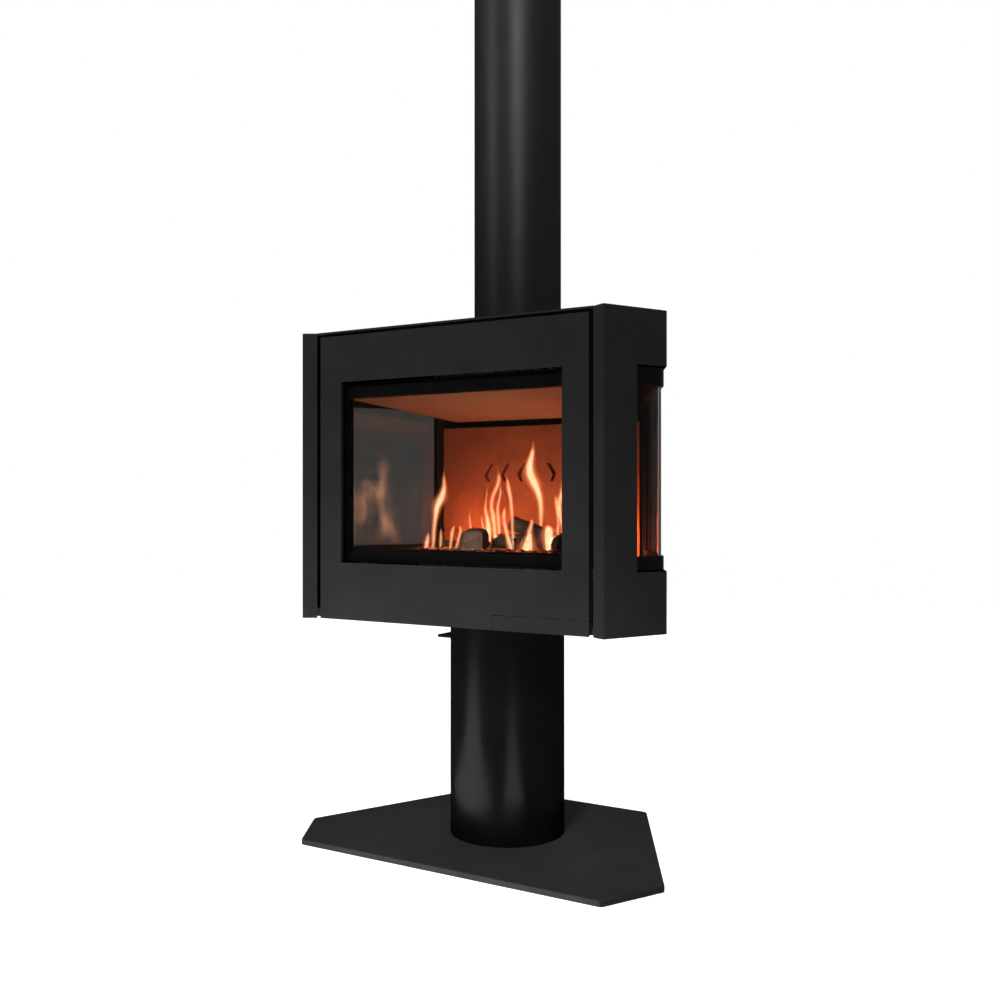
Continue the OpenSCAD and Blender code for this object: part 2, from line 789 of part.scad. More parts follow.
module framed_plate(half_w, z0, z1, y0, y1, bar_x, bar_z) {
    difference() {
        block(-half_w, half_w, y0, y1, z0, z1);
        block(-half_w + bar_x, half_w - bar_x, y0 - 1, y1 + 1, z0 + bar_z, z1 - bar_z);
    }
}

front_half_w = clear_w / 2 + frame_side_bar;
front_z0 = clear_z0 - frame_cross_bar;
front_z1 = clear_z1 + frame_cross_bar;
clamp_w = 12;
clamp_over = 6;

module front_glass_frame() {
    color("#101010") framed_plate(front_half_w, front_z0, front_z1, front_frame_y,
        front_glass_y, frame_side_bar, frame_cross_bar);
}

module front_glass() {
    color("#40404080") block(2 - front_half_w, front_half_w - 2, front_glass_y, front_rope_y,
        front_z0 + 2, front_z1 - 2);
}

module front_rope_seal() {
    color("#2a2826") framed_plate(clear_w / 2 + 9, clear_z0 - 9, clear_z1 + 9,
        front_rope_y, shell_front_y, 9, 9);
}

// Small cranked clamps that press the front frame's sides to the shell
module front_frame_clamps() {
    x0 = front_half_w - clamp_over;
    x1 = front_half_w + 0.5;
    color("#303030") both_sides() for (z = [clear_z0 + 25, (clear_z0 + clear_z1) / 2, clear_z1 - 25])
        difference() {
            union() {
                block(x0, x1 + clamp_w, front_frame_y - 2, front_frame_y, z - 9, z + 9);
                block(x1, x1 + clamp_w, front_frame_y - 2, shell_front_y, z - 9, z + 9);
                translate([x1 + clamp_w / 2, front_frame_y - 2, z]) rotate([90, 0, 0])
                    cylinder(d = 8, h = 1.8, $fn = 32);
            }
            translate([x1 + clamp_w / 2, front_frame_y - 2.6, z]) rotate([90, 0, 0])
                cylinder(d = 4, h = 3, $fn = 6);
        }
}

module side_glass() {
    window_band(notch_fore + 10, notch_aft + 3, glass_in, rope_in, clear_z0 - 16, clear_z1 + 16);
}

module right_glass() { color("#40404080") side_glass(); }

module left_glass() { color("#40404080") mirror([1, 0, 0]) side_glass(); }

module side_glass_frame() {
    difference() {
        window_band(notch_fore + 11, notch_aft + 5, frame_in, glass_in,
            notch_z0 + 2, notch_z0 + notch_h - 2);
        window_band(notch_fore, notch_aft - frame_bar, frame_in - 3, glass_in + 3,
            clear_z0, clear_z1);
    }
}

module right_glass_frame() { color("#101010") side_glass_frame(); }

module left_glass_frame() { color("#101010") mirror([1, 0, 0]) side_glass_frame(); }

module side_rope_seals() {
    color("#2a2826") both_sides() difference() {
        window_band(notch_fore + 8, notch_aft - frame_bar + 8, rope_in + 0.05, shell_in - 0.15,
            clear_z0 - 8, clear_z1 + 8);
        window_band(notch_fore, notch_aft - frame_bar, rope_in - 3, shell_in + 3,
            clear_z0, clear_z1);
    }
}

// ---------------------------------------------------------------- burner and logs

tray_y0 = burner_y - tray_d / 2;
tray_y1 = burner_y + tray_d / 2;

module burner_tray() {
    color("#2d2b2a") difference() {
        pan(-tray_w / 2, tray_w / 2, tray_y0, tray_y1, shell_z0, bed_z, 1.5);
        translate([0, burner_y, shell_z0 - 1]) cylinder(d = 40, h = 4);
    }
}

module burner_bed() {
    color("#4a443e") difference() {
        block(2 - tray_w / 2, tray_w / 2 - 2, tray_y0 + 2, tray_y1 - 2, bed_z - 6, bed_z);
        // rows of burner ports
        for (y = [burner_y - 45, burner_y + 5, burner_y + 50], x = [-120:24:120])
            translate([x, y, bed_z - 7]) cylinder(d = 4, h = 8, $fn = 16);
    }
    // legs under the bed
    color("#4a443e") for (x = [-100, 100], y = [burner_y - 30, burner_y + 30])
        translate([x, y, shell_z0 + 1.5]) cylinder(d = 8, h = tray_h - 7.5, $fn = 24);
}

// Rough ceramic log: rings along X, flattened where it lies
log_sides = 12;
log_rings = 9;
function log_ring(i, long, r0, r1, seed) =
    let (s = i / (log_rings - 1), r = r0 + (r1 - r0) * s)
    let (bow = r * 0.25 * sin(180 * s + seed * 40))
    [for (k = [0:log_sides - 1])
        let (a = 360 * k / log_sides)
        let (rough = 1 + 0.07 * sin(3 * a + 70 * seed + 50 * i) + 0.05 * sin(5 * a + 130 * i))
        let (y = r * rough * cos(a) + bow, z = r * rough * sin(a))
        [long * (s - 0.5), y, max(z, -0.72 * min(r0, r1))]];

module log_body(long, r0, r1, seed) {
    pts = [for (i = [0:log_rings - 1]) each log_ring(i, long, r0, r1, seed)];
    n = log_sides;
    last = (log_rings - 1) * n;
    sides = [for (i = [0:log_rings - 2], k = [0:n - 1])
        let (a = i * n + k, b = i * n + (k + 1) % n)
        each [[a, b + n, b], [a, a + n, b + n]]];
    translate([0, 0, 0.72 * min(r0, r1)])
        polyhedron(concat(pts), concat(sides, [[for (k = [0:n - 1]) k]],
            [[for (k = [n - 1:-1:0]) last + k]]));
}

// Two short thick logs, one across the middle that carries a leaning one, and branches
module log_set() {
    color("#5c5148") translate([0, 0, bed_z]) {
        translate([-36, -50, 0]) rotate(-60) log_body(72, 22, 20, 1);
        translate([34, -16, 0]) rotate(-4) log_body(104, 16, 15, 2);
        translate([60, 2, 16.8]) rotate([0, 17, 4]) log_body(112, 15, 13, 3);
        translate([-96, 22, 0]) rotate(9) log_body(88, 8, 7, 4);
        translate([114, -50, 0]) rotate(-30) log_body(60, 18, 16, 5);
        translate([-107, -26, 0]) rotate(24) log_body(28, 9, 8, 6);
    }
}

chip_front_x = [-138, -115, -92, -69, 14, 37, 60, 83];
chip_middle_x = [-134, -112, -88, 24, 44];
chip_rear_x = [-36, -14, 8, 30, 52, 74, 96, 118, 138];

// Ember chips on the free strips of the bed
module ember_chips() {
    color("#6b4a38") translate([0, 0, bed_z]) {
        for (x = chip_front_x) chip(x, burner_y - 66 + 3 * sin(x * 97), 4 + 1.4 * sin(x * 151), x);
        for (x = chip_middle_x) chip(x, burner_y - 46 + 2 * sin(x * 61), 3.6 + sin(x * 83), x);
        for (x = chip_rear_x) chip(x, burner_y + 66 + 2.5 * sin(x * 67), 4 + 1.2 * sin(x * 113), x);
    }
}

module chip(x, y, r, seed) {
    translate([x, y, 0]) rotate(seed * 47) hull() {
        linear_extrude(0.6) circle(r = r, $fn = 7);
        translate([0.4 * r, 0, r * 0.5]) linear_extrude(0.6) circle(r = r * 0.85, $fn = 5);
        translate([0, 0.2 * r, r]) linear_extrude(0.4) circle(r = r * 0.4, $fn = 4);
    }
}

pilot_x = 42;
pilot_y = -58;

module pilot_burner() {
    color("#8f8b84") translate([pilot_x, pilot_y, bed_z]) {
        cube([26, 12, 1.5]);
        translate([4, 6, 0]) cylinder(d = 7, h = 16, $fn = 24);
        translate([4, 6, 16]) rotate_extrude($fn = 24)
            polygon([[0, 0], [5, 0], [5, 3], [3.5, 5], [0, 5]]);
        translate([14, 6, 0]) cylinder(d = 4, h = 24, $fn = 24);
        translate([21, 6, 0]) cylinder(d = 5, h = 12, $fn = 24);
        translate([21, 6, 12]) cylinder(d = 1.6, h = 12, $fn = 16);
    }
}

// ---------------------------------------------------------------- gas and air

burner_box_z = shell_z0 - floor_t - 34;
duct_w = 200;
duct_d = 32;
duct_y0 = shell_back_y;
duct_y1 = duct_y0 + duct_d;
thin_t = 1.5;
burner_box_w = 240;
burner_box_y = burner_y - 65;
air_box_w = 230;
pipe_d = 8;
pipe_x = 60;
pipe_y = -60;

// Pan below the chamber floor that brings air to the burner
module burner_box() {
    color("#34322f") difference() {
        pan(-burner_box_w / 2, burner_box_w / 2, burner_box_y, duct_y1, burner_box_z,
            shell_z0 - floor_t, thin_t);
        translate([pipe_x, pipe_y, burner_box_z - 1])
            cylinder(d = pipe_d + 0.4, h = 4, $fn = 32);
    }
}

// Flat duct behind the chamber, flanged at its foot
module air_duct() {
    z0 = shell_z0 - floor_t;
    color("#34322f") difference() {
        union() {
            block(-duct_w / 2, duct_w / 2, duct_y0, duct_y1, z0, box_z);
            block(-burner_box_w / 2, burner_box_w / 2, duct_y0, duct_y1, z0, z0 + thin_t);
        }
        block(thin_t - duct_w / 2, duct_w / 2 - thin_t, duct_y0 + thin_t, duct_y1 - thin_t,
            z0 - 1, box_z + 1);
    }
}

// Box on the chamber roof where the two flue passages part
module air_box() {
    y0 = flue_y - flue_outer_d / 2 - 12;
    color("#34322f") difference() {
        block(-air_box_w / 2, air_box_w / 2, y0, duct_y1, box_z, box_z + box_h);
        block(thin_t - air_box_w / 2, air_box_w / 2 - thin_t, y0 + thin_t, duct_y1 - thin_t,
            box_z + thin_t, box_z + box_h - thin_t);
        translate([0, flue_y, box_z - 1])
            cylinder(d = flue_inner_d + 2 * seat_gap, h = 4, $fn = 96);
        translate([0, flue_y, box_z + box_h - 3])
            cylinder(d = flue_outer_d - 14, h = 6, $fn = 96);
        block(thin_t - duct_w / 2, duct_w / 2 - thin_t, duct_y0 + thin_t, duct_y1 - thin_t,
            box_z - 1, box_z + 3);
    }
}

outlet_y = valve_y[1] - 12;
outlet_z = tray_top + 30;

// Valve block with two knob shafts, a solenoid, a regulator tower and its outlet
module gas_valve() {
    top = tray_top + valve_h;
    color("#9b9d9e") {
        block(valve_x[0], valve_x[1], valve_y[0], valve_y[1], tray_top, top);
        translate([knob_x[0], valve_y[0] + 22, top]) cylinder(d = 26, h = 14, $fn = 48);
        translate([knob_x[0], valve_y[0] + 22, top + 14]) cylinder(d = 8, h = 4, $fn = 32);
        translate([knob_x[1], valve_y[0] + 38, top]) cylinder(d = 20, h = 18, $fn = 48);
        for (x = knob_x)
            translate([x, valve_y[0] + 1, knob_z]) rotate([90, 0, 0])
                cylinder(d = shaft_d, h = valve_y[0] - control_y + 10, $fn = 32);
    }
}

pipe_bend_r = 14;
injector_d = 18;

// Bent pipe from the valve's side up into the burner box, and the injector at its end
module burner_pipe() {
    rise_z = burner_box_z + 17;
    r = pipe_bend_r;
    back = outlet_y - pipe_y;
    turn = atan2(burner_y - pipe_y, -pipe_x);
    run = norm([pipe_x, burner_y - pipe_y]);
    color("#b08a4a") {
        translate([valve_x[0] - 9, outlet_y, outlet_z]) rotate([0, 90, 0])
            cylinder(d = 14, h = 9, $fn = 6);
        translate([valve_x[0], outlet_y, outlet_z]) rotate(180)
            pipe_run(pipe_d, valve_x[0] - pipe_x - r);
        translate([pipe_x + r, outlet_y, outlet_z]) rotate(180) mirror([0, 1, 0])
            pipe_bend(pipe_d, r);
        translate([pipe_x, outlet_y + r, outlet_z]) rotate(90) pipe_run(pipe_d, -back - 2 * r);
        translate([pipe_x, pipe_y - r, outlet_z]) rotate(90) rotate([90, 0, 0])
            pipe_bend(pipe_d, r);
        translate([pipe_x, pipe_y, outlet_z + r])
            cylinder(d = pipe_d, h = rise_z - outlet_z - 2 * r, $fn = 32);
        translate([pipe_x, pipe_y, rise_z - r]) rotate(turn) rotate([90, 0, 0])
            rotate([0, 0, 90]) mirror([0, 1, 0]) pipe_bend(pipe_d, r);
        translate([pipe_x, pipe_y, rise_z]) rotate(turn) translate([r, 0, 0])
            pipe_run(pipe_d, run - r);
        translate([0, burner_y, rise_z - 7])
            cylinder(d = injector_d, h = shell_z0 - rise_z + 10, $fn = 6);
    }
}

barrel_l = 16;

module control_bracket() {
    color("#303234") difference() {
        union() {
            block(flap_x0 + 6, flap_x1 - 8, control_y, control_y + 2, tray_top, tray_top + 26);
            block(flap_x0 + 6, flap_x1 - 8, control_y, control_y + 12, tray_top, tray_top + thin_t);
        }
        for (x = knob_x)
            translate([x, control_y - 1, knob_z]) rotate([-90, 0, 0])
                cylinder(d = shaft_d + 1, h = 6, $fn = 32);
        translate([button_x, control_y - 1, knob_z]) rotate([-90, 0, 0])
            cylinder(d = button_d + 2 * run_gap, h = 6, $fn = 48);
    }
}

// Barrel of the piezo igniter: the button slides in it against a hidden spring
module igniter_barrel() {
    color("#2b2d30") difference() {
        union() {
            translate([button_x, control_y + 2, knob_z]) rotate([-90, 0, 0])
                cylinder(d = button_d + 5, h = barrel_l + 4, $fn = 48);
            translate([button_x, control_y + 2, knob_z]) rotate([-90, 0, 0])
                cylinder(d = 18, h = 3, $fn = 6);
            translate([button_x, control_y + barrel_l + 6, knob_z]) rotate([-90, 0, 0])
                cylinder(d = 4, h = 6, $fn = 24);
        }
        translate([button_x, control_y + 1, knob_z]) rotate([-90, 0, 0])
            cylinder(d = button_d + 2 * run_gap, h = barrel_l, $fn = 48);
    }
}

knob_l = 10;

// Ribbed knob on a shaft that points to the front
module knob(x) {
    translate([x, control_y - 0.5, knob_z]) rotate([90, 0, 0]) difference() {
        union() {
            cylinder(d = knob_d - 1.6, h = knob_l, $fn = 48);
            cylinder(d = knob_d, h = 2, $fn = 48);
            for (a = [0:30:330])
                rotate(a) translate([knob_d / 2 - 1.1, 0, 0]) cylinder(d = 1.8, h = knob_l - 1, $fn = 16);
            translate([-0.7, 1, 0]) cube([1.4, knob_d / 2 - 2, knob_l + 0.8]);
        }
        translate([0, 0, -1]) cylinder(d = shaft_d + 2 * run_gap, h = knob_l - 0.4, $fn = 48);
    }
}

module ignition_knob() { color("#3c3c3e") knob(knob_x[0]); }

module flame_knob() { color("#3c3c3e") knob(knob_x[1]); }

// Push button, its back end short of the barrel's end by the travel and a margin
module igniter_button() {
    depth = barrel_l - button_travel - 2;
    color("#7e2a22") translate([button_x, control_y + depth, knob_z]) rotate([90, 0, 0]) {
        cylinder(d = button_d, h = depth + 6, $fn = 48);
        translate([0, 0, depth + 6]) cylinder(d1 = button_d, d2 = button_d - 1.6, h = 0.8, $fn = 48);
    }
}

// ---------------------------------------------------------------- flue

flue_base_z = box_z + box_h;
collar_wall = 1.2;
collar_h = 38;
flue_top_z = casing_top + flue_l;

module flue_spigot() {
    d = flue_inner_d - 2 * flue_wall - 2 * seat_gap;
    color("#6a6d70") translate([0, flue_y, 0]) {
        tube(d, d - 2.4, box_z, flue_base_z - 6);
        tube(d + 2 * seat_gap + 2 * flue_wall - 0.6, d - 2.4, box_z, box_z + thin_t);
    }
}

// Ring that narrows the outlet inside the spigot
module flue_restrictor() {
    d = flue_inner_d - 2 * flue_wall - 2 * seat_gap - 2.4;
    color("#7d8083") translate([0, flue_y, 0]) tube(d - 0.4, 62, box_z + 8, box_z + 10);
}

module flue_collar() {
    d = flue_outer_d - 2 * flue_wall - 2 * seat_gap;
    color("#1d1d1d") translate([0, flue_y, 0]) {
        tube(d, d - 2 * collar_wall, flue_base_z, flue_base_z + collar_h);
        tube(d + 16, d - 2 * collar_wall, flue_base_z, flue_base_z + thin_t);
    }
}

neck_l = 40;
neck_in = 0.6;

// Pipe whose top end is drawn in to enter the next one
module flue_pipe(d, z0) {
    r = d / 2;
    translate([0, flue_y, 0]) rotate_extrude($fn = 96) polygon([
        [r - flue_wall, z0], [r, z0],
        [r, flue_top_z - neck_l], [r - neck_in, flue_top_z - neck_l],
        [r - neck_in, flue_top_z], [r - neck_in - flue_wall, flue_top_z],
        [r - neck_in - flue_wall, flue_top_z - neck_l - flue_wall],
        [r - flue_wall, flue_top_z - neck_l - flue_wall]
    ]);
}

module inner_flue() { color("#8c8f92") flue_pipe(flue_inner_d, box_z + thin_t); }

module outer_flue() { color("#232323") flue_pipe(flue_outer_d, flue_base_z + thin_t); }

spacer_at = [0.15, 0.85];   // heights along the flue section
spacer_w = 12;
spacer_h = 60;
spacer_t = 0.6;

// Three spring strips at each height hold the inner pipe in the middle
module flue_spacers() {
    gap = (flue_outer_d - flue_inner_d) / 2 - flue_wall;
    color("#8c8f92") translate([0, flue_y, casing_top])
        for (s = spacer_at, a = [0:120:240])
            rotate(a) translate([flue_inner_d / 2 + run_gap, -spacer_w / 2, s * flue_l]) {
                cube([spacer_t, spacer_w, spacer_h]);
                for (h = [0, spacer_h - spacer_t])
                    translate([0, 0, h]) cube([gap - spacer_t, spacer_w, spacer_t]);
                translate([gap - 2 * spacer_t, 0, 0]) cube([spacer_t, spacer_w, spacer_h]);
            }
}

base_plate();
column();
foot_ring();
foot_bolts();
head_ring();
head_bolts();
supply_pipe();
receiver_shelf();
receiver_box();
casing_tray();
left_side_panel();
right_side_panel();
rear_panel();
top_cover();
casing_screws();
front_panel();
panel_hangers();
control_flap();
flap_hinge_pin();
chamber_legs();
chamber_shell();
chamber_floor();
chamber_roof();
back_wall();
ceiling_baffle();
front_glass();
front_glass_frame();
front_rope_seal();
front_frame_clamps();
left_glass();
right_glass();
left_glass_frame();
right_glass_frame();
side_rope_seals();
burner_tray();
burner_bed();
log_set();
ember_chips();
pilot_burner();
burner_box();
air_duct();
air_box();
gas_valve();
burner_pipe();
control_bracket();
ignition_knob();
flame_knob();
igniter_button();
igniter_barrel();
flap_magnet();
flue_spigot();
flue_restrictor();
flue_collar();
inner_flue();
outer_flue();
flue_spacers();
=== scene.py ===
"""Pedestal gas fire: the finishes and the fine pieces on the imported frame.

Each operator in the sidebar dresses one group of pieces of the fire. The script runs
them all in order. Sizes are in metres, unless their name or a comment says millimetres.
"""

import math
import random

import bmesh
import bpy
from bpy.props import FloatProperty, PointerProperty
from mathutils import Matrix, Vector, noise


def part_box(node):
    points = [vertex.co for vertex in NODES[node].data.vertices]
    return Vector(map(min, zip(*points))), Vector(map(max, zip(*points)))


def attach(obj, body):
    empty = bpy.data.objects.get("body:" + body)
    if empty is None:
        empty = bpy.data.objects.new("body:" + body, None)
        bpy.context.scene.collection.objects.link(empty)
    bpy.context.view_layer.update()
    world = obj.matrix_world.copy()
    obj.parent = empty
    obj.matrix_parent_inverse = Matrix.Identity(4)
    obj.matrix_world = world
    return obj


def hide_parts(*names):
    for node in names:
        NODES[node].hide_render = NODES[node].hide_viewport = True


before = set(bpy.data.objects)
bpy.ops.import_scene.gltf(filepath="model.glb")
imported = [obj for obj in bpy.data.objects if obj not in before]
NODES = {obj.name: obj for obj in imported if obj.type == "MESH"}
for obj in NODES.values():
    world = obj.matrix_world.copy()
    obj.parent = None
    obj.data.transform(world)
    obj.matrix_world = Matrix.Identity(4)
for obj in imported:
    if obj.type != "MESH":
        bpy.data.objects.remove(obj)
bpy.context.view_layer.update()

bl_info = {
    "name": "Pedestal gas fire",
    "version": (1, 0, 0),
    "blender": (4, 5, 0),
    "location": "3D View > Sidebar > Fire",
    "description": "Finishes and fine pieces of a gas fire on a column",
    "category": "Object",
}

MM = 0.001
WHITE = (1, 1, 1, 1)

WELD = 2e-6  # points nearer than this become one
FLAT_WITHIN = math.radians(0.6)  # faces that turn by less than this become one
CREASE = math.radians(35)  # edges that turn by more than this stay sharp

# The camera, as solved from the photograph: its place, and its turn from the fire's front
EYE = (0.888, -1.564, 0.571)
EYE_TURN = math.atan2(0.49985, 0.8661)

# The side pane in plan, in mm: where its two flats would meet, the way each leaves that corner,
# how far from it they begin, and the arc between them with its end angles
CORNER = Vector((329.0, -108.0))
FORE, AFT = Vector((-0.4816, -0.8764)), Vector((-0.4461, 0.8950))
ARC_REACH = 14.14
ARC_CENTRE, ARC_RADIUS = Vector((298.53, -107.39)), 27.0
ARC_FROM, ARC_TO = -28.8, 26.5

# The side seals, in mm: their run round that corner, how deep their middle lies behind the
# outline, their half width and half depth
SEAL_FROM, SEAL_TO, SEAL_DEPTH = -59, 243, 12.95
SEAL_HALF_WIDTH, SEAL_HALF_DEPTH = 3.9, 1.85
STITCH = 1.3  # mm between two rings of a rope


# -------- colours and nodes


def shade(hex_colour):
    """An sRGB hex colour as linear red, green, blue and alpha."""
    out = []
    for i in (0, 2, 4):
        c = int(hex_colour[i : i + 2], 16) / 255
        out.append(c / 12.92 if c <= 0.04045 else ((c + 0.055) / 1.055) ** 2.4)
    return (*out, 1.0)


def grain(size_mm):
    """Texture scale, per metre, at which one feature of the pattern is size_mm wide."""
    return 1000.0 / size_mm


def put(tree, kind, values=None, **settings):
    """Adds a shader node. settings are its properties; values are its inputs, each a number,
    a colour or the output that feeds it."""
    n = tree.nodes.new("ShaderNode" + kind)
    for key, value in settings.items():
        setattr(n, key, value)
    for key, value in (values or {}).items():
        socket = n.inputs[key]
        if isinstance(value, bpy.types.NodeSocket):
            tree.links.new(value, socket)
        else:
            socket.default_value = value
    return n


def patches(tree, place, size_mm, detail, **more):
    """Noise with patches size_mm wide."""
    values = {"Vector": place, "Scale": grain(size_mm), "Detail": detail, **more}
    return put(tree, "TexNoise", values).outputs["Fac"]


def cells(tree, place, size_mm, **settings):
    """The outputs of a pattern of cells size_mm wide."""
    return put(tree, "TexVoronoi", {"Vector": place, "Scale": grain(size_mm)}, **settings).outputs


def ramp(tree, fac, stops):
    """A colour ramp through stops of (place, hex colour)."""
    n = put(tree, "ValToRGB", {"Fac": fac})
    band = n.color_ramp
    while len(band.elements) < len(stops):
        band.elements.new(0.5)
    for e, (at, colour) in zip(band.elements, stops):
        e.position = at
        e.color = shade(colour)
    return n.outputs["Color"]


def mapped(tree, value, low, high, start=0.0, end=1.0):
    """value, taken from between start and end to between low and high."""
    values = {"Value": value, "From Min": start, "From Max": end, "To Min": low, "To Max": high}
    return put(tree, "MapRange", values).outputs["Result"]


def maths(tree, operation, first, second):
    """An operation's result."""
    return put(tree, "Math", {0: first, 1: second}, operation=operation).outputs["Value"]


def bumps(tree, height, strength, depth):
    """The normal of a surface that height raises by up to depth metres."""
    values = {"Height": height, "Strength": strength, "Distance": depth}
    return put(tree, "Bump", values).outputs["Normal"]


def surface(tree, values):
    """A Principled shader with those inputs."""
    return put(tree, "BsdfPrincipled", values).outputs["BSDF"]


def mirror_coat(tree, colour, rough, normal):
    """A shader that only mirrors."""
    values = {"Color": colour, "Roughness": rough, "Normal": normal}
    return put(tree, "BsdfAnisotropic", values).outputs["BSDF"]


def mixed(tree, share, first, second):
    """A shader made of two, the second by that share."""
    return put(tree, "MixShader", {0: share, 1: first, 2: second}).outputs["Shader"]


def blended(tree, share, first, second):
    """A colour made of two, the second by that share."""
    return put(tree, "Mix", {0: share, 6: first, 7: second}, data_type="RGBA").outputs[2]


def finish(build):
    """Turns build, which fills a tree and returns what goes into the material's output, into
    a function that takes a name and build's own values and returns the material."""

    def make(name, *values, **more):
        mat = bpy.data.materials.new(name)
        mat.use_nodes = True
        tree = mat.node_tree
        tree.nodes.clear()
        place = put(tree, "TexCoord").outputs["Object"]
        put(tree, "OutputMaterial", build(tree, place, *values, **more))
        return mat

    return make


# -------- finishes


@finish
def powder_coat(tree, place, hex_colour, lighter, rough, gloss, peel_mm=2.2):
    """Steel with a matt powder coat, sprayed and baked: an even black that is broken only by
    a fine orange peel, by faint cloudiness and by dust that has melted into the coat."""
    cloud = patches(tree, place, 70, 3.0)
    tone = ramp(tree, cloud, [(0.3, hex_colour), (0.7, lighter)])
    dull = mapped(tree, cloud, rough - 0.04, rough + 0.05, start=0.3, end=0.7)
    normal = bumps(tree, patches(tree, place, peel_mm, 2.0), 0.12, 0.0004)
    coat = surface(tree, {
        "Base Color": tone, "Roughness": dull, "IOR": 1.5, "Specular IOR Level": 0.0, "Normal": normal})
    # the matting agent keeps the shine low at every angle, so it isn't Fresnel's
    return {"Surface": mixed(tree, gloss, coat, mirror_coat(tree, WHITE, dull, normal))}


@finish
def stove_paint(tree, place, hex_colour, lighter, rough=0.75):
    """Heat-resistant stove paint, brushed or sprayed thin: dead matt, a little mottled and
    greyer where heat has dried it."""
    tone = ramp(tree, patches(tree, place, 35, 4.0), [(0.35, hex_colour), (0.75, lighter)])
    return {"Surface": surface(tree, {
        "Base Color": tone, "Roughness": rough, "IOR": 1.5, "Specular IOR Level": 0.03,
        "Normal": bumps(tree, patches(tree, place, 1.6, 3.0), 0.25, 0.0003)})}


@finish
def metal(tree, place, hex_colour, darker, rough, streak=(1, 1, 1), streak_mm=6.0, pits=0.05):
    """Bare or plated metal. The streaks run the way the sheet was rolled or the bar was turned,
    and make the reflection long and slightly uneven."""
    stretch = put(tree, "Mapping", {"Vector": place, "Scale": streak}).outputs["Vector"]
    lines = patches(tree, stretch, streak_mm, 5.0)
    return {"Surface": surface(tree, {
        "Base Color": ramp(tree, lines, [(0.3, darker), (0.7, hex_colour)]), "Metallic": 1.0,
        "Roughness": mapped(tree, lines, rough - 0.08, rough + 0.1),
        "Normal": bumps(tree, lines, pits, 0.0002)})}


@finish
def spangled_zinc(tree, place, hex_colour, darker, spangle_mm=5.0):
    """Hot-dipped aluminised or zinc-coated sheet: crystals a few millimetres wide, each
    with its own grey and its own dullness."""
    flake = cells(tree, place, spangle_mm)
    return {"Surface": surface(tree, {
        "Base Color": ramp(tree, flake["Color"], [(0.2, darker), (0.8, hex_colour)]), "Metallic": 1.0,
        "Roughness": mapped(tree, flake["Distance"], 0.3, 0.5)})}


@finish
def moulded_plastic(tree, place, hex_colour, lighter, rough=0.45, spark_mm=0.9):
    """Moulded plastic with a fine spark-eroded texture, which softens the shine."""
    spark = cells(tree, place, spark_mm)["Distance"]
    return {"Surface": surface(tree, {
        "Base Color": ramp(tree, spark, [(0.0, hex_colour), (1.0, lighter)]), "Roughness": rough,
        "IOR": 1.46, "Normal": bumps(tree, spark, 0.2, 0.0001)})}


@finish
def smoked_glass(tree, place, hex_tint, mirror=0.0):
    """Glass ceramic pane, rolled, smoked and coated against reflections: the fire glows
    through it, and the room behind it turns dark grey. mirror is the share that a
    heat-reflecting coat sends back, which shows the flames a second time, softly."""
    normal = bumps(tree, patches(tree, place, 90, 1.0), 0.02, 0.001)
    pane = surface(tree, {
        "Base Color": shade(hex_tint), "Transmission Weight": 1.0, "Roughness": 0.0, "IOR": 1.1,
        "Normal": normal})
    if mirror:
        pane = mixed(tree, mirror, pane, mirror_coat(tree, shade("f4efe6"), 0.1, normal))
    return {"Surface": pane}


@finish
def plaited_rope(tree, place, hex_colour, lighter, strand_mm=3.0):
    """Knitted glass-fibre rope, dyed black: plaited strands that catch a little grey light."""
    strands = put(tree, "TexWave", {
        "Vector": place, "Scale": grain(strand_mm) / (2 * math.pi), "Distortion": 1.5, "Detail": 2.0},
        bands_direction="DIAGONAL").outputs["Fac"]
    height = maths(tree, "ADD", strands, patches(tree, place, 0.8, 4.0))
    return {"Surface": surface(tree, {
        "Base Color": ramp(tree, strands, [(0.1, hex_colour), (0.9, lighter)]), "Roughness": 0.9,
        "Sheen Weight": 0.2, "Normal": bumps(tree, height, 0.6, 0.0005)})}


@finish
def vermiculite(tree, place, hex_colour, darker, fleck, flake_mm=2.4):
    """Pressed vermiculite board: flakes of mica that lie flat, a few of them bright, with
    scorched clouds where the flames lick it."""
    flake = cells(tree, place, flake_mm)
    base = ramp(tree, patches(tree, place, 60, 4.0), [(0.3, darker), (0.7, hex_colour)])
    spots = ramp(tree, flake["Color"], [(0.0, "000000"), (0.72, "000000"), (0.86, "ffffff")])
    return {"Surface": surface(tree, {
        "Base Color": blended(tree, spots, base, shade(fleck)), "Roughness": 0.85,
        "Specular IOR Level": 0.25, "Normal": bumps(tree, flake["Distance"], 0.2, 0.0004)})}


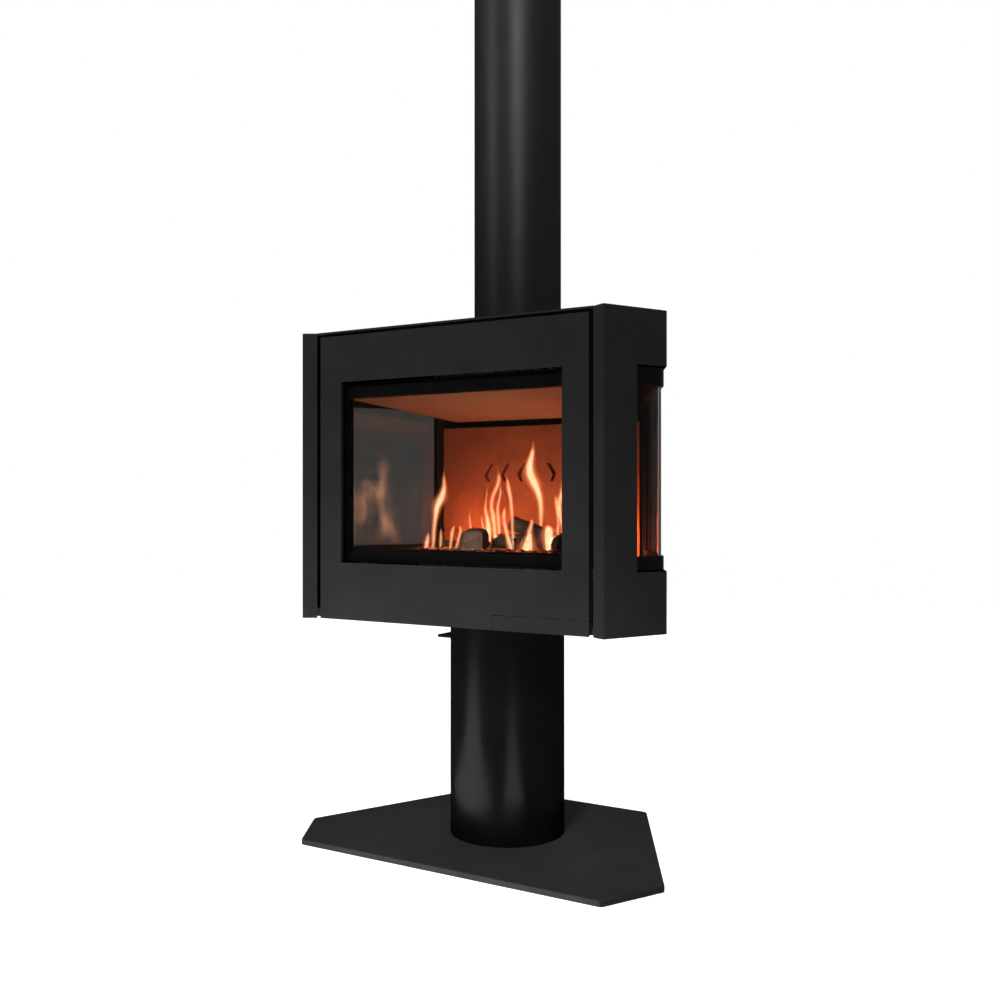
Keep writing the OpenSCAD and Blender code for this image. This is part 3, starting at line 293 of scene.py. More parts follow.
@finish
def ceramic_log(tree, place, bed, glow_mm=14):
    """Cast ceramic-fibre log, sprayed by hand: soft grey-brown bark in long low ridges, char
    in patches that have cracked into scales, and a dull red glow in the cracks just above
    the bed."""
    lengthwise = put(tree, "Mapping", {"Vector": place, "Scale": (0.35, 1.0, 1.0)}).outputs["Vector"]
    bark = patches(tree, lengthwise, 7, 6.0, Distortion=0.6)
    scales = cells(tree, place, 9, feature="DISTANCE_TO_EDGE")["Distance"]
    wood = ramp(tree, bark, [(0.25, "2b2623"), (0.5, "423c38"), (0.75, "5c5551")])
    char = ramp(tree, bark, [(0.3, "1a1513"), (0.65, "352c28"), (0.85, "7c7069")])
    burnt = ramp(tree, patches(tree, place, 38, 2.0), [(0.5, "000000"), (0.66, "ffffff")])
    crack = mapped(tree, scales, 1.0, 0.0, end=0.07)
    height = put(tree, "SeparateXYZ", {"Vector": place}).outputs["Z"]
    low = mapped(tree, height, 1.0, 0.0, start=bed, end=bed + glow_mm * MM)
    hot = maths(tree, "MULTIPLY", maths(tree, "MULTIPLY", crack, low), burnt)
    return {"Surface": surface(tree, {
        "Base Color": blended(tree, burnt, wood, char), "Roughness": 0.92, "Specular IOR Level": 0.2,
        "Emission Color": shade("ff5a14"), "Emission Strength": maths(tree, "MULTIPLY", hot, 1.5),
        "Normal": bumps(tree, maths(tree, "ADD", scales, bark), 0.45, 0.0008)})}


@finish
def ember(tree, place, dark, glow, strength):
    """Granules of ceramic and vermiculite on the burner: dull grains with glowing ones between."""
    cell = cells(tree, place, 7)["Color"]
    return {"Surface": surface(tree, {
        "Base Color": ramp(tree, cell, [(0.1, dark), (0.6, "5a4638"), (0.95, "8d7a68")]),
        "Roughness": 0.95, "Specular IOR Level": 0.2, "Emission Color": shade(glow),
        "Emission Strength": mapped(tree, cell, 0.0, strength, start=0.5, end=0.95),
        "Normal": bumps(tree, patches(tree, place, 1.5, 4.0), 0.6, 0.0006)})}


@finish
def flame_gas(tree, place, hex_colour, per_metre):
    """Burning gas: it has no surface, and glows more the deeper the eye looks into it."""
    glow = put(tree, "Emission", {"Color": shade(hex_colour), "Strength": per_metre})
    return {"Volume": glow.outputs["Emission"]}


@finish
def pale_floor(tree, place):
    """Matt white paint that goes to plain white for the eye and keeps the soft shadow."""
    seen = put(tree, "LightPath").outputs["Is Camera Ray"]
    paint = surface(tree, {"Base Color": shade("dcdcdc"), "Roughness": 0.9, "Specular IOR Level": 0.1})
    lift = put(tree, "Emission", {"Color": WHITE, "Strength": maths(tree, "MULTIPLY", seen, 0.75)})
    both = put(tree, "AddShader", {0: paint, 1: lift.outputs["Emission"]})
    return {"Surface": both.outputs["Shader"]}


# -------- making pieces


def dress(mat, *names):
    """Gives the CAD nodes' own objects their finish."""
    for name in names:
        o = NODES[name]
        if not o.material_slots:
            o.data.materials.append(mat)
        for slot in o.material_slots:
            slot.link = "OBJECT"
            slot.material = mat


def piece(name, mesh, mat, body="stove", node=None):
    """Links a new object made of mesh, gives it its material, and lets it ride on a body. It
    stands in for the CAD node, where one is named, and hides that node."""
    o = bpy.data.objects.new(name, mesh)
    bpy.context.scene.collection.objects.link(o)
    mesh.materials.append(mat)
    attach(o, body)
    if node:
        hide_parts(node)
    return o


def mesh_from(bm, name, smooth=True):
    """A mesh of that name made of the working mesh, which is used up."""
    for f in bm.faces:
        f.smooth = smooth
    mesh = bpy.data.meshes.new(name)
    bm.to_mesh(mesh)
    bm.free()
    return mesh


def mesh_of(name, verts, faces, smooth=True):
    """A mesh from points in metres and faces, with outward normals."""
    bm = bmesh.new()
    vs = [bm.verts.new(v) for v in verts]
    for f in faces:
        bm.faces.new([vs[i] for i in f])
    bmesh.ops.recalc_face_normals(bm, faces=bm.faces)
    return mesh_from(bm, name, smooth)


def crease(bm):
    """Makes the edges of creases sharp."""
    for e in bm.edges:
        if len(e.link_faces) == 2 and e.calc_face_angle(0.0) > CREASE:
            e.smooth = False


def softened(node, mat, edge_mm, body="stove"):
    """A piece with the CAD node's shape and its edges rounded by edge_mm."""
    bm = bmesh.new()
    bm.from_mesh(NODES[node].data)
    bmesh.ops.remove_doubles(bm, verts=bm.verts, dist=WELD)
    bmesh.ops.dissolve_limit(bm, angle_limit=FLAT_WITHIN, verts=bm.verts, edges=bm.edges)
    crease(bm)
    o = piece(node + "_soft", mesh_from(bm, node + "_soft"), mat, body, node)
    bevel = o.modifiers.new("folded edge", "BEVEL")
    bevel.width = edge_mm * MM
    bevel.segments = 2
    bevel.limit_method = "ANGLE"
    bevel.angle_limit = CREASE
    bevel.harden_normals = True
    return o


def second_finish(o, mat, chosen):
    """Gives the faces for which chosen is true a finish of their own."""
    o.data.materials.append(mat)
    for f in o.data.polygons:
        if chosen(f):
            f.material_index = 1


def sweep(rings):
    """Verts and faces of a closed skin through rings of equally many points."""
    n = len(rings[0])
    verts = [p for ring in rings for p in ring]
    faces = []
    for i in range(len(rings) - 1):
        for k in range(n):
            a, b = i * n + k, i * n + (k + 1) % n
            faces.append((a, b, b + n, a + n))
    faces.append(tuple(reversed(range(n))))
    faces.append(tuple((len(rings) - 1) * n + k for k in range(n)))
    return verts, faces


def joined(name, skins):
    """One mesh from several skins, each a pair of verts and faces."""
    verts, faces = [], []
    for more, sides in skins:
        start = len(verts)
        verts += more
        faces += [tuple(i + start for i in face) for face in sides]
    return mesh_of(name, verts, faces)


def smooth_line(points, per_gap):
    """A Catmull-Rom line through points of any size of tuple."""
    out = []
    for i in range(len(points) - 1):
        p0, p1 = points[max(i - 1, 0)], points[i]
        p2, p3 = points[i + 1], points[min(i + 2, len(points) - 1)]
        for s in range(per_gap):
            t = s / per_gap
            out.append(tuple(
                0.5 * (2 * b + (c - a) * t + (2 * a - 5 * b + 4 * c - d) * t * t
                       + (3 * b - a - 3 * c + d) * t**3)
                for a, b, c, d in zip(p0, p1, p2, p3)))
    out.append(tuple(points[-1]))
    return out


# -------- logs, embers, flames

# x, y, height over the bed, turn in plan, lean, length, radius at each end, all as in the CAD
LOGS = [
    (-36, -50, 0, -60, 0, 72, 22, 20),
    (34, -16, 0, -4, 0, 104, 16, 15),
    (60, 2, 16.8, 4, 17, 112, 15, 13),
    (-96, 22, 0, 9, 0, 88, 8, 7),
    (114, -50, 0, -30, 0, 60, 18, 16),
    (-107, -26, 0, 24, 0, 28, 9, 8),
]
SAWN = 1  # the number of the log that is sawn square, with its corners worn round
UNDERSIDE = 0.72  # from a log's axis down to its flat underside, as a share of its thin end's radius

# Flames from tip to foot: x, height, half width in mm; each flame stands at one depth
FLAMES = {
    "left_tall": (-62, [
        (-89, 623, 0.3), (-88, 609, 2.1), (-87, 594, 3.6), (-90, 581, 6.2), (-95.6, 570, 8.2),
        (-102, 557, 6.4), (-106, 540, 4), (-109, 522, 3.3), (-110, 502, 3), (-111, 488, 2.4)]),
    "left_low": (-66, [(-117, 516, 0.5), (-118.4, 507, 2.8), (-120.8, 498, 4), (-123, 488, 3.4)]),
    "left_mid": (-40, [(-108, 522, 0.4), (-107.6, 514, 2.2), (-108, 502, 2.6), (-109, 490, 2.2)]),
    "tall": (18, [
        (40, 674, 0.2), (39, 659, 2.6), (36.4, 644, 5.2), (33.5, 629.5, 7.2), (35.8, 614.5, 9.2),
        (42, 602, 9.2), (49, 587, 7.0), (53.6, 572, 5.2), (54.7, 555, 4), (54.4, 537, 3.1), (53, 515, 2.2),
        (52, 500, 1.6)]),
    "curl": (-20, [
        (-7, 624, 0.2), (-6, 612, 2.4), (-7, 599, 3.2), (-12.3, 587, 3.2), (-18, 572, 2.8),
        (-18.3, 557, 3.2), (-14.8, 542, 4.3), (-13.4, 527, 3.7), (-12.5, 510, 3.4), (-10, 488, 3.4)]),
    "slim": (-36, [
        (19, 614, 0.2), (21, 602, 2.2), (23, 587, 3.5), (26, 572, 3.1), (28, 555, 3), (30, 537, 2.6),
        (31, 522, 2.6), (33, 503, 3.1), (35, 488, 3.4)]),
    "hook": (-40, [
        (19, 562, 0.5), (16, 550, 2.7), (16, 535, 3), (21, 516, 3.5), (27, 499, 4.4), (31, 488, 4)]),
    "small": (10, [
        (-58.6, 550, 0.3), (-56.3, 537, 1.6), (-54.2, 525, 2.3), (-53.3, 512, 2.4), (-53, 488, 2)]),
    "loop_a": (-58, [
        (-67.5, 531, 0.5), (-72.5, 520, 2.8), (-74.8, 505, 2.7), (-76.9, 492, 2.3), (-73, 488, 2)]),
    "loop_b": (-52, [
        (-64, 530, 0.5), (-61.6, 520, 2.6), (-64, 510, 2.6), (-67.5, 496, 2.6), (-71, 488, 2)]),
    "wisp_a": (14, [
        (-50, 598, 0.2), (-48, 584, 1.2), (-50, 570, 1.6), (-51, 556, 2.4), (-49, 545, 3.6), (-47, 532, 5),
        (-46, 516, 6), (-46, 498, 5)]),
    "wisp_b": (24, [
        (-30, 603, 0.3), (-28, 585, 1.9), (-31, 570, 2.2), (-33, 554, 2.7), (-30, 531, 3.1),
        (-29, 490, 2.4)]),
    "bright": (-70, [
        (82, 542, 0.5), (84, 535, 2.7), (81, 523, 3.6), (80, 510, 6.4), (78, 497, 11), (77, 489, 11)]),
    "block": (-76, [(117.5, 532, 1.5), (118, 523, 9), (118, 512, 10), (117, 502, 8), (117, 490, 5)]),
    "edge": (-24, [
        (104, 585, 0.2), (105, 570, 2.3), (108, 555, 2.9), (110, 538, 2.4), (109, 521, 2.5),
        (108, 498, 2.8)]),
    "right_a": (-14, [
        (132, 600, 0.3), (129, 584, 2.4), (132, 566, 4), (137, 548, 4.6), (134, 528, 4), (130, 508, 3.6),
        (129, 489, 3)]),
    "right_b": (16, [
        (96, 622, 0.3), (99, 604, 2.2), (97, 585, 3.8), (92, 566, 4.2), (93, 545, 3.6), (97, 520, 3.2),
        (96, 490, 2.4)]),
    "rear_left": (28, [(-94, 552, 0.3), (-92, 540, 1.6), (-90, 525, 2.2), (-88, 508, 2.2), (-88, 490, 2)]),
}

# Flames at the right end, which lean from front to back: y, height, half width; each at one x
END_FLAMES = {
    "end_curl": (150, [
        (-22, 622, 0.4), (-8, 612, 5), (4, 598, 8), (0, 584, 9), (-18, 574, 8), (-32, 560, 8.5),
        (-38, 545, 7), (-36, 528, 4), (-40, 508, 2.6), (-41, 489, 2.2)]),
    "end_bulge": (140, [
        (-2, 606, 1), (12, 596, 6), (16, 582, 8), (4, 570, 7), (-8, 560, 5), (-4, 540, 3), (-2, 515, 2),
        (-3, 489, 1.6)]),
    "end_low": (132, [
        (18, 538, 0.6), (26, 528, 6), (34, 517, 8.5), (42, 506, 8), (46, 496, 6), (47, 489, 4)]),
    "end_front": (146, [(-70, 530, 0.6), (-63, 522, 6), (-58, 512, 6.5), (-60, 500, 4.5), (-62, 489, 3)]),
}


def log_rings(seed, length, r0, r1, around=56, along=64):
    """Rings of a cast log along X: ridged bark, a flat underside and rough, dished ends."""
    rings = []
    square = 3.4  # 2 would be round
    floor = -UNDERSIDE * min(r0, r1)
    for i in range(along + 1):
        s = i / along
        x = length * (s - 0.5)
        radius = r0 + (r1 - r0) * s
        bow = radius * 0.25 * math.sin(math.radians(180 * s + seed * 40))
        ring = []
        for k in range(around):
            a = 2 * math.pi * k / around
            side, rise = math.cos(a), math.sin(a)
            bark = noise.ridged_multi_fractal(
                Vector((x * 0.018, side * 1.6, rise * 1.6 + seed * 7.3)), 1.0, 2.1, 4, 0.9, 2.0)
            lump = noise.noise(Vector((x * 0.05, side * 0.9 + seed * 3.1, rise * 0.9)))
            if seed == SAWN:
                r = radius * (0.93 + 0.03 * lump + 0.02 * (bark - 1.0))
                r /= (abs(side) ** square + abs(rise) ** square) ** (1 / square)
            else:
                r = radius * (0.94 + 0.1 * lump + 0.05 * (bark - 1.0))
            y, z = r * side + bow, r * rise
            if z < floor:
                z = floor + 0.2 * noise.noise(Vector((x, y, seed)))
            ring.append(Vector((x, y, z)))
        rings.append(ring)
    for end, step in ((0, 1), (along, -1)):
        centre = sum(rings[end], Vector()) / around
        inner = []
        for share, dish in ((0.93, 0.6), (0.7, 1.6), (0.4, 1.3), (0.12, 2.2)):
            inner.append([
                centre + (p - centre) * share
                + Vector((step * (dish + 0.9 * noise.noise(p * 0.25 * share + Vector((seed, 0, 0)))), 0, 0))
                for p in rings[end]])
        rings = list(reversed(inner)) + rings if end == 0 else rings + inner
    return rings


def build_logs(bed):
    """The log set as one mesh, each log turned, leaned and lifted onto the bed."""
    skins = []
    for seed, (x, y, up, turn, lean, length, r0, r1) in enumerate(LOGS, 1):
        lift = UNDERSIDE * min(r0, r1)
        place = Matrix.Translation((x, y, up)) @ Matrix.Rotation(math.radians(turn), 4, "Z")
        place = place @ Matrix.Rotation(math.radians(lean), 4, "Y") @ Matrix.Translation((0, 0, lift))
        rings = log_rings(seed, length, r0, r1)
        skins.append(sweep([[(place @ p) * MM + Vector((0, 0, bed)) for p in ring] for ring in rings]))
    return joined("log_set_cast", skins)


def pebble(bm, centre, size, seed):
    """An irregular granule of about that size, flattened where it lies."""
    made = bmesh.ops.create_icosphere(bm, subdivisions=2, radius=1.0)
    squat = 0.55 + 0.25 * noise.noise(Vector((seed * 1.7, 0, 0)))
    for v in made["verts"]:
        n = noise.noise(v.co * 1.3 + Vector((seed * 9.1, 0, 0)))
        v.co *= 1 + 0.32 * n
        v.co.z = max(v.co.z * squat, -0.35)
        v.co = centre + v.co * size


def build_granules(low, high, size, count, clear, seed=11):
    """Granules spread over a rectangle, away from clear: x, y and the distance along each."""
    clear_x, clear_y, off_x, off_y = clear
    rng = random.Random(seed)
    bm = bmesh.new()
    placed = 0
    while placed < count:
        x, y = rng.uniform(low.x, high.x), rng.uniform(low.y, high.y)
        s = size * rng.uniform(0.55, 1.25)
        if abs(x - clear_x) < off_x and abs(y - clear_y) < off_y:
            continue
        pebble(bm, Vector((x, y, high.z + 0.3 * s)), s, rng.uniform(0, 500))
        placed += 1
    return mesh_from(bm, "granules")


def build_bed(low, high):
    """The burner's porous bed: a slab with a grainy, slightly wavy top."""
    nx, ny = 150, 74
    sunk, relief, worn, thick = 0.9 * MM, 0.7 * MM, 0.8 * MM, 6 * MM
    top = []
    for j in range(ny + 1):
        for i in range(nx + 1):
            x = low.x + (high.x - low.x) * i / nx
            y = low.y + (high.y - low.y) * j / ny
            rough = noise.noise(Vector((x, y, 0)) * 260) + 0.6 * noise.noise(Vector((x, y, 3)) * 620)
            edge = min(i, nx - i, j, ny - j)
            top.append(Vector((x, y, high.z - sunk + relief * rough - (worn if edge == 0 else 0))))
    faces = []
    for j in range(ny):
        for i in range(nx):
            a = j * (nx + 1) + i
            faces.append((a, a + 1, a + nx + 2, a + nx + 1))
    loop = (
        list(range(nx + 1))
        + [j * (nx + 1) + nx for j in range(1, ny + 1)]
        + [ny * (nx + 1) + i for i in range(nx - 1, -1, -1)]
        + [j * (nx + 1) for j in range(ny - 1, 0, -1)]
    )
    start = len(top)
    verts = top + [Vector((top[i].x, top[i].y, high.z - thick)) for i in loop]
    for k in range(len(loop)):
        n = (k + 1) % len(loop)
        faces.append((loop[k], start + k, start + n, loop[n]))
    faces.append(tuple(start + k for k in range(len(loop))))
    return mesh_of("burner_bed_grain", verts, faces)


def flame_skin(depth, points, sideways, widen, top_cut, seed):
    """A closed tongue of gas round its centreline, flat like a leaf and twisted as it rises.
    It leans across the fire, or from front to back where it is sideways."""
    line = smooth_line(points, 6)
    line = line[int(len(line) * top_cut) :]
    rings = []
    foot = line[-1][1]
    for i, (x, z, w) in enumerate(line):
        end = min(i, len(line) - 1 - i)
        w = max(w * widen, 0.15) * (0.35 if end == 0 else 1.0)
        up = z - foot
        turn = math.radians(90 if sideways else 30) + 0.45 * math.sin(up * 0.03 + seed)
        sway = 1.6 * math.sin(up * 0.05 + seed * 2.0)
        thick = min(max(0.55 * w, 0.15), 2.6)
        at = (depth, x) if sideways else (x, depth + sway)
        ring = []
        for k in range(16):
            a = 2 * math.pi * k / 16
            fx, fy = w * math.cos(a), thick * math.sin(a)
            ring.append(Vector((
                at[0] + fx * math.cos(turn) - fy * math.sin(turn),
                at[1] + fx * math.sin(turn) + fy * math.cos(turn),
                z)) * MM)
        rings.append(ring)
    return sweep(rings)


def build_flames(name, widen, top_cut):
    """All flames as one mesh, their widths times widen and that share of each tip cut off."""
    tongues = [(*flame, False) for flame in FLAMES.values()]
    tongues += [(*flame, True) for flame in END_FLAMES.values()]
    return joined(name, [
        flame_skin(*tongue, widen, top_cut, seed) for seed, tongue in enumerate(tongues)])


# -------- seals and fasteners


def rope_loop(stops, wide, deep):
    """A plaited rope along a closed line of (point, outward normal), squashed to a half width
    and a half depth, with its strands raised in a spiral."""
    n = 16
    count = len(stops)
    verts = []
    run = 0.0
    for i, (p, out) in enumerate(stops):
        ahead = (stops[(i + 1) % count][0] - stops[i - 1][0]).normalized()
        run += (p - stops[i - 1][0]).length if i else 0.0
        across = ahead.cross(out).normalized()
        for k in range(n):
            a = 2 * math.pi * k / n
            strand = 0.94 + 0.06 * math.sin(3 * a + run / (5.5 * MM) * 2 * math.pi) * math.cos(run / (4 * MM))
            verts.append(p + strand * (across * wide * math.cos(a) + out * deep * math.sin(a)))
    faces = []
    for i in range(count):
        j = (i + 1) % count
        for k in range(n):
            m = (k + 1) % n
            faces.append((i * n + k, i * n + m, j * n + m, j * n + k))
    return verts, faces


def rounded_window(x0, x1, z0, z1, radius, step):
    """Points every step along a rectangle with round corners, as (along, height)."""
    turns = [(x1 - radius, z0 + radius, -90), (x1 - radius, z1 - radius, 0),
             (x0 + radius, z1 - radius, 90), (x0 + radius, z0 + radius, 180)]
    line = []
    for x, z, start in turns:
        for k in range(7):
            a = math.radians(start + 15 * k)
            line.append(Vector((x + radius * math.cos(a), z + radius * math.sin(a))))
    out = []
    for i, at in enumerate(line):
        ahead = line[(i + 1) % len(line)]
        cuts = max(1, int((ahead - at).length / step))
        out += [at.lerp(ahead, c / cuts) for c in range(cuts)]
    return out


def on_side(along, z, inwards):
    """A point behind the bent side pane and the way it faces, from its run round the casing's
    widest corner (negative towards the front), its height and its depth, all in mm."""
    if abs(along) > ARC_REACH:
        way = FORE if along < 0 else AFT
        flat = CORNER + way * abs(along)
        out = Vector((-way.y, way.x)) if along < 0 else Vector((way.y, -way.x))
    else:
        share = (along + ARC_REACH) / (2 * ARC_REACH)
        angle = math.radians(ARC_FROM + share * (ARC_TO - ARC_FROM))
        out = Vector((math.cos(angle), math.sin(angle)))
        flat = ARC_CENTRE + out * ARC_RADIUS
    flat -= out * inwards
    return Vector((flat.x, flat.y, z)) * MM, Vector((out.x, out.y, 0))


def socket_screw(bm, at, axis, radius, height, hexagon):
    """A button-head screw along an axis, whose round head holds a hexagon socket."""
    place = Matrix.Translation(at) @ axis.to_track_quat("Z", "Y").to_matrix().to_4x4()
    n, domes = 48, 6
    around = [2 * math.pi * k / n for k in range(n)]
    rim = 0.25 * height
    profile = [(radius, 0.0), (radius, rim)]
    for s in range(1, domes + 1):
        t = s / domes
        profile.append((radius * (1 - 0.42 * t**2), height * (0.25 + 0.75 * math.sin(t * math.pi / 2))))
    rings = [[Vector((r * math.cos(a), r * math.sin(a), z)) for a in around] for r, z in profile]
    for z, flare in ((height, 1.06), (height * 0.98, 1.0), (rim, 1.0)):
        ring = []
        for a in around:
            reach = flare * hexagon / math.cos((a % (math.pi / 3)) - math.pi / 6)
            ring.append(Vector((reach * math.cos(a), reach * math.sin(a), z)))
        rings.append(ring)
    vs = [[bm.verts.new(place @ p) for p in ring] for ring in rings]
    for a, b in zip(vs, vs[1:]):
        for k in range(n):
            bm.faces.new((a[k], a[(k + 1) % n], b[(k + 1) % n], b[k]))
    bm.faces.new(list(reversed(vs[0])))
    bm.faces.new(vs[-1])


# -------- lights

SHADED_PANES = "Panes without softboxes"

# name, place, share of the glow, colour, radius
GLOWS = [
    ("Glow low", (-0.04, 0.04, 0.515), 0.04, "ff8a50", 0.03),
    ("Glow middle", (0.05, 0.04, 0.53), 0.1, "ff9458", 0.03),
    ("Glow left", (-0.11, 0.03, 0.508), 0.38, "ff8648", 0.02),
    ("Glow right", (0.18, 0.055, 0.499), 0.55, "ff7a3c", 0.012),
    ("Glow front", (-0.02, -0.12, 0.535), 0.28, "ffdcc4", 0.03),
    ("Glow high", (0.0, 0.03, 0.60), 0.06, "ff9c6c", 0.04),
]


def light(data, at, power):
    """Links a lamp that the camera doesn't see, through the panes or past them."""
    data.energy = power
    o = bpy.data.objects.new(data.name, data)
    o.location = at
    o.visible_camera = False
    o.visible_transmission = False
    bpy.context.scene.collection.objects.link(o)
    return o


def soft_light(name, power, width, height, at, aim, spread=180, turn=0):
    """A rectangular softbox. turn spins it about its own axis."""
    data = bpy.data.lights.new(name, "AREA")
    data.shape = "RECTANGLE"
    data.size, data.size_y = width, height
    data.spread = math.radians(spread)
    o = light(data, at, power)
    o.rotation_euler = (Vector(aim) - Vector(at)).to_track_quat("-Z", "Y").to_euler()
    o.rotation_euler.rotate_axis("Z", math.radians(turn))
    o.light_linking.receiver_collection = bpy.data.collections.get(SHADED_PANES)


def keep_off_panes():
    """Names the panes that no softbox is mirrored in: from above, one would fill a whole pane."""
    panes = bpy.data.collections.new(SHADED_PANES)
    for name in ("front_glass_soft", "left_glass_soft", "right_glass_soft"):
        panes.objects.link(bpy.data.objects[name])
    for entry in panes.collection_objects:
        entry.light_linking.link_state = "EXCLUDE"


def inner_glow(power):
    """The light that the flames throw on the boards and logs."""
    for name, at, share, colour, radius in GLOWS:
        data = bpy.data.lights.new(name, "POINT")
        data.color = shade(colour)[:3]
        data.shadow_soft_size = radius
        light(data, at, power * share).visible_glossy = False


def surround(scene):
    """A world that is white to the eye and in mirrors, and that lights the fire faintly."""
    world = bpy.data.worlds.new("Studio surround")
    scene.world = world
    world.use_nodes = True
    tree = world.node_tree
    tree.nodes.clear()
    rays = put(tree, "LightPath").outputs
    seen = maths(tree, "MAXIMUM", rays["Is Camera Ray"], rays["Is Glossy Ray"])
    seen = maths(tree, "MAXIMUM", seen, rays["Is Transmission Ray"])
    faint, white = (
        put(tree, "Background", {"Color": WHITE, "Strength": strength}).outputs["Background"]
        for strength in (0.3, 1.0))
    put(tree, "OutputWorld", {"Surface": mixed(tree, seen, faint, white)})


# -------- settings


class FireFinishes(bpy.types.PropertyGroup):
    """The rounding of the fire's edges and the glow of its flames."""

    edge_mm: FloatProperty(
        name="Edge radius", description="Rounding along the folded edges, in millimetres",
        default=0.8, min=0.2, max=2.0)
    glow: FloatProperty(
        name="Glow", description="Power of the light that the flames throw inside the chamber",
        subtype="POWER", default=9.0, min=0.0, max=60.0)
    flame: FloatProperty(
        name="Flame brightness", description="Glow of the burning gas for each metre of depth",
        default=450.0, min=0.0, max=5000.0)


class FireStage(bpy.types.PropertyGroup):
    """The studio round the fire."""

    lens_mm: FloatProperty(
        name="Lens", description="Focal length of the camera on a 36 mm sensor, in millimetres",
        default=38.0, min=20.0, max=120.0)
    floor_size: FloatProperty(
        name="Floor", description="Side of the studio floor", subtype="DISTANCE", unit="LENGTH",
        default=9.0, min=3.0, max=30.0)
    key: FloatProperty(
        name="Low light", description="Power of the low soft light that draws the column's highlight",
        subtype="POWER", default=16.0, min=0.0, max=500.0)
    side: FloatProperty(
        name="Side light",
        description="Power of the tall soft light on the left, which draws the flue's second highlight",
        subtype="POWER", default=3.2, min=0.0, max=500.0)
    top: FloatProperty(
        name="Upper light", description="Power of the soft light on the flue",
        subtype="POWER", default=6.0, min=0.0, max=500.0)
    high: FloatProperty(
        name="Overhead light", description="Power of the large soft light above the front",
        subtype="POWER", default=45.0, min=0.0, max=2000.0)
    front: FloatProperty(
        name="Front light", description="Power of the soft light on the floor plate",
        subtype="POWER", default=1.25, min=0.0, max=500.0)
    rear: FloatProperty(
        name="Rear light", description="Power of the large soft light above the back",
        subtype="POWER", default=50.0, min=0.0, max=2000.0)


# -------- operators


class PEDESTALFIRE_OT_metalwork(bpy.types.Operator):
    """Coats the stand, the casing and the flue, and rounds their edges."""

    bl_idname = "pedestal_fire.metalwork"
    bl_label = "Metalwork"

    def execute(self, context):
        edge = context.scene.fire_finishes.edge_mm
        matt = "Powder-coated steel, matt black "
        casing = powder_coat(matt + "casing", "212122", "252526", rough=0.5, gloss=0.004)
        front = powder_coat(matt + "front", "212122", "252526", rough=0.55, gloss=0.004)
        stand = powder_coat(
            "Powder-coated steel, satin black column", "070707", "0a0a0a", rough=0.23, gloss=0.005)
        plate = powder_coat("Powder-coated plate, matt black", "272728", "2b2b2c", rough=0.5, gloss=0.002)
        # The plate's front face gets a lighter, glossier coat of its own: a painted highlight where the edge
        # catches the light.
        painted_highlight_edge = powder_coat(
            "Powder-coated plate, front edge rubbed by shoes", "3a3a3b", "464647", rough=0.4, gloss=0.01)
        flue = powder_coat("Powder-coated flue pipe, matt black", "090909", "0c0c0c", rough=0.43, gloss=0.008)
        for name in ("left_side_panel", "right_side_panel", "top_cover"):
            softened(name, casing, 0.35 * edge)
        softened("front_panel", front, 0.9 * edge)
        softened("control_flap", front, 0.7 * edge, body="flap")
        softened("receiver_shelf", stand, 0.5 * edge)
        foot = softened("base_plate", plate, 0.5 * edge)
        # The faces that look straight to the front take that lighter coat, the painted highlight.
        second_finish(foot, painted_highlight_edge, lambda f: f.normal.y < -0.99)
        dress(casing, "rear_panel", "casing_tray", "panel_hangers")
        dress(stand, "column")
        dress(flue, "outer_flue", "flue_collar")
        raw = metal("Hot-rolled steel, oiled", "5c5a58", "3a3837", 0.5, streak=(1, 1, 0.2), streak_mm=9)
        dress(raw, "foot_ring", "head_ring")
        return {"FINISHED"}


class PEDESTALFIRE_OT_flue(bpy.types.Operator):
    """Finishes the inner pipe, its spacers, the spigot and the restrictor."""

    bl_idname = "pedestal_fire.flue"
    bl_label = "Inner flue"

    def execute(self, context):
        rolled = (1, 1, 0.06)
        stainless = metal(
            "Stainless steel, rolled, mill finish", "b9babb", "8f9092", 0.32, streak=rolled, streak_mm=3)
        dress(stainless, "inner_flue", "flue_spacers", "flue_spigot", "flue_restrictor")
        return {"FINISHED"}


class PEDESTALFIRE_OT_fasteners(bpy.types.Operator):
    """Makes the socket screws of the back and finishes bolts, magnet, pin and clamps."""

    bl_idname = "pedestal_fire.fasteners"
    bl_label = "Fasteners"

    def execute(self, context):
        black = metal("Black zinc plating on turned steel", "3a3b3d", "242526", 0.38, streak_mm=2)
        bright = metal("Bright zinc plating on forged steel", "aeb2b5", "83888c", 0.34, streak_mm=4)
        nickel = metal("Nickel-plated magnet", "c7c3b8", "a5a196", 0.18, streak_mm=5)
        drawn = metal("Stainless pin, drawn", "c2c3c4", "9a9b9d", 0.25, streak=(0.1, 1, 1), streak_mm=2)
        low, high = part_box("casing_screws")
        radius, hexagon = 4.5 * MM, 1.5 * MM
        bm = bmesh.new()
        for side in (-1, 1):
            for z in (low.z + radius, (low.z + high.z) / 2, high.z - radius):
                at = Vector((side * (high.x - radius), low.y, z))
                socket_screw(bm, at, Vector((0, 1, 0)), radius, high.y - low.y, hexagon)
        bmesh.ops.recalc_face_normals(bm, faces=bm.faces)
        crease(bm)
        piece("casing_screws_head", mesh_from(bm, "casing_screws_head"), black, node="casing_screws")
        dress(bright, "foot_bolts", "head_bolts")
        dress(nickel, "flap_magnet")
        dress(drawn, "flap_hinge_pin")
        dress(black, "front_frame_clamps")
        return {"FINISHED"}


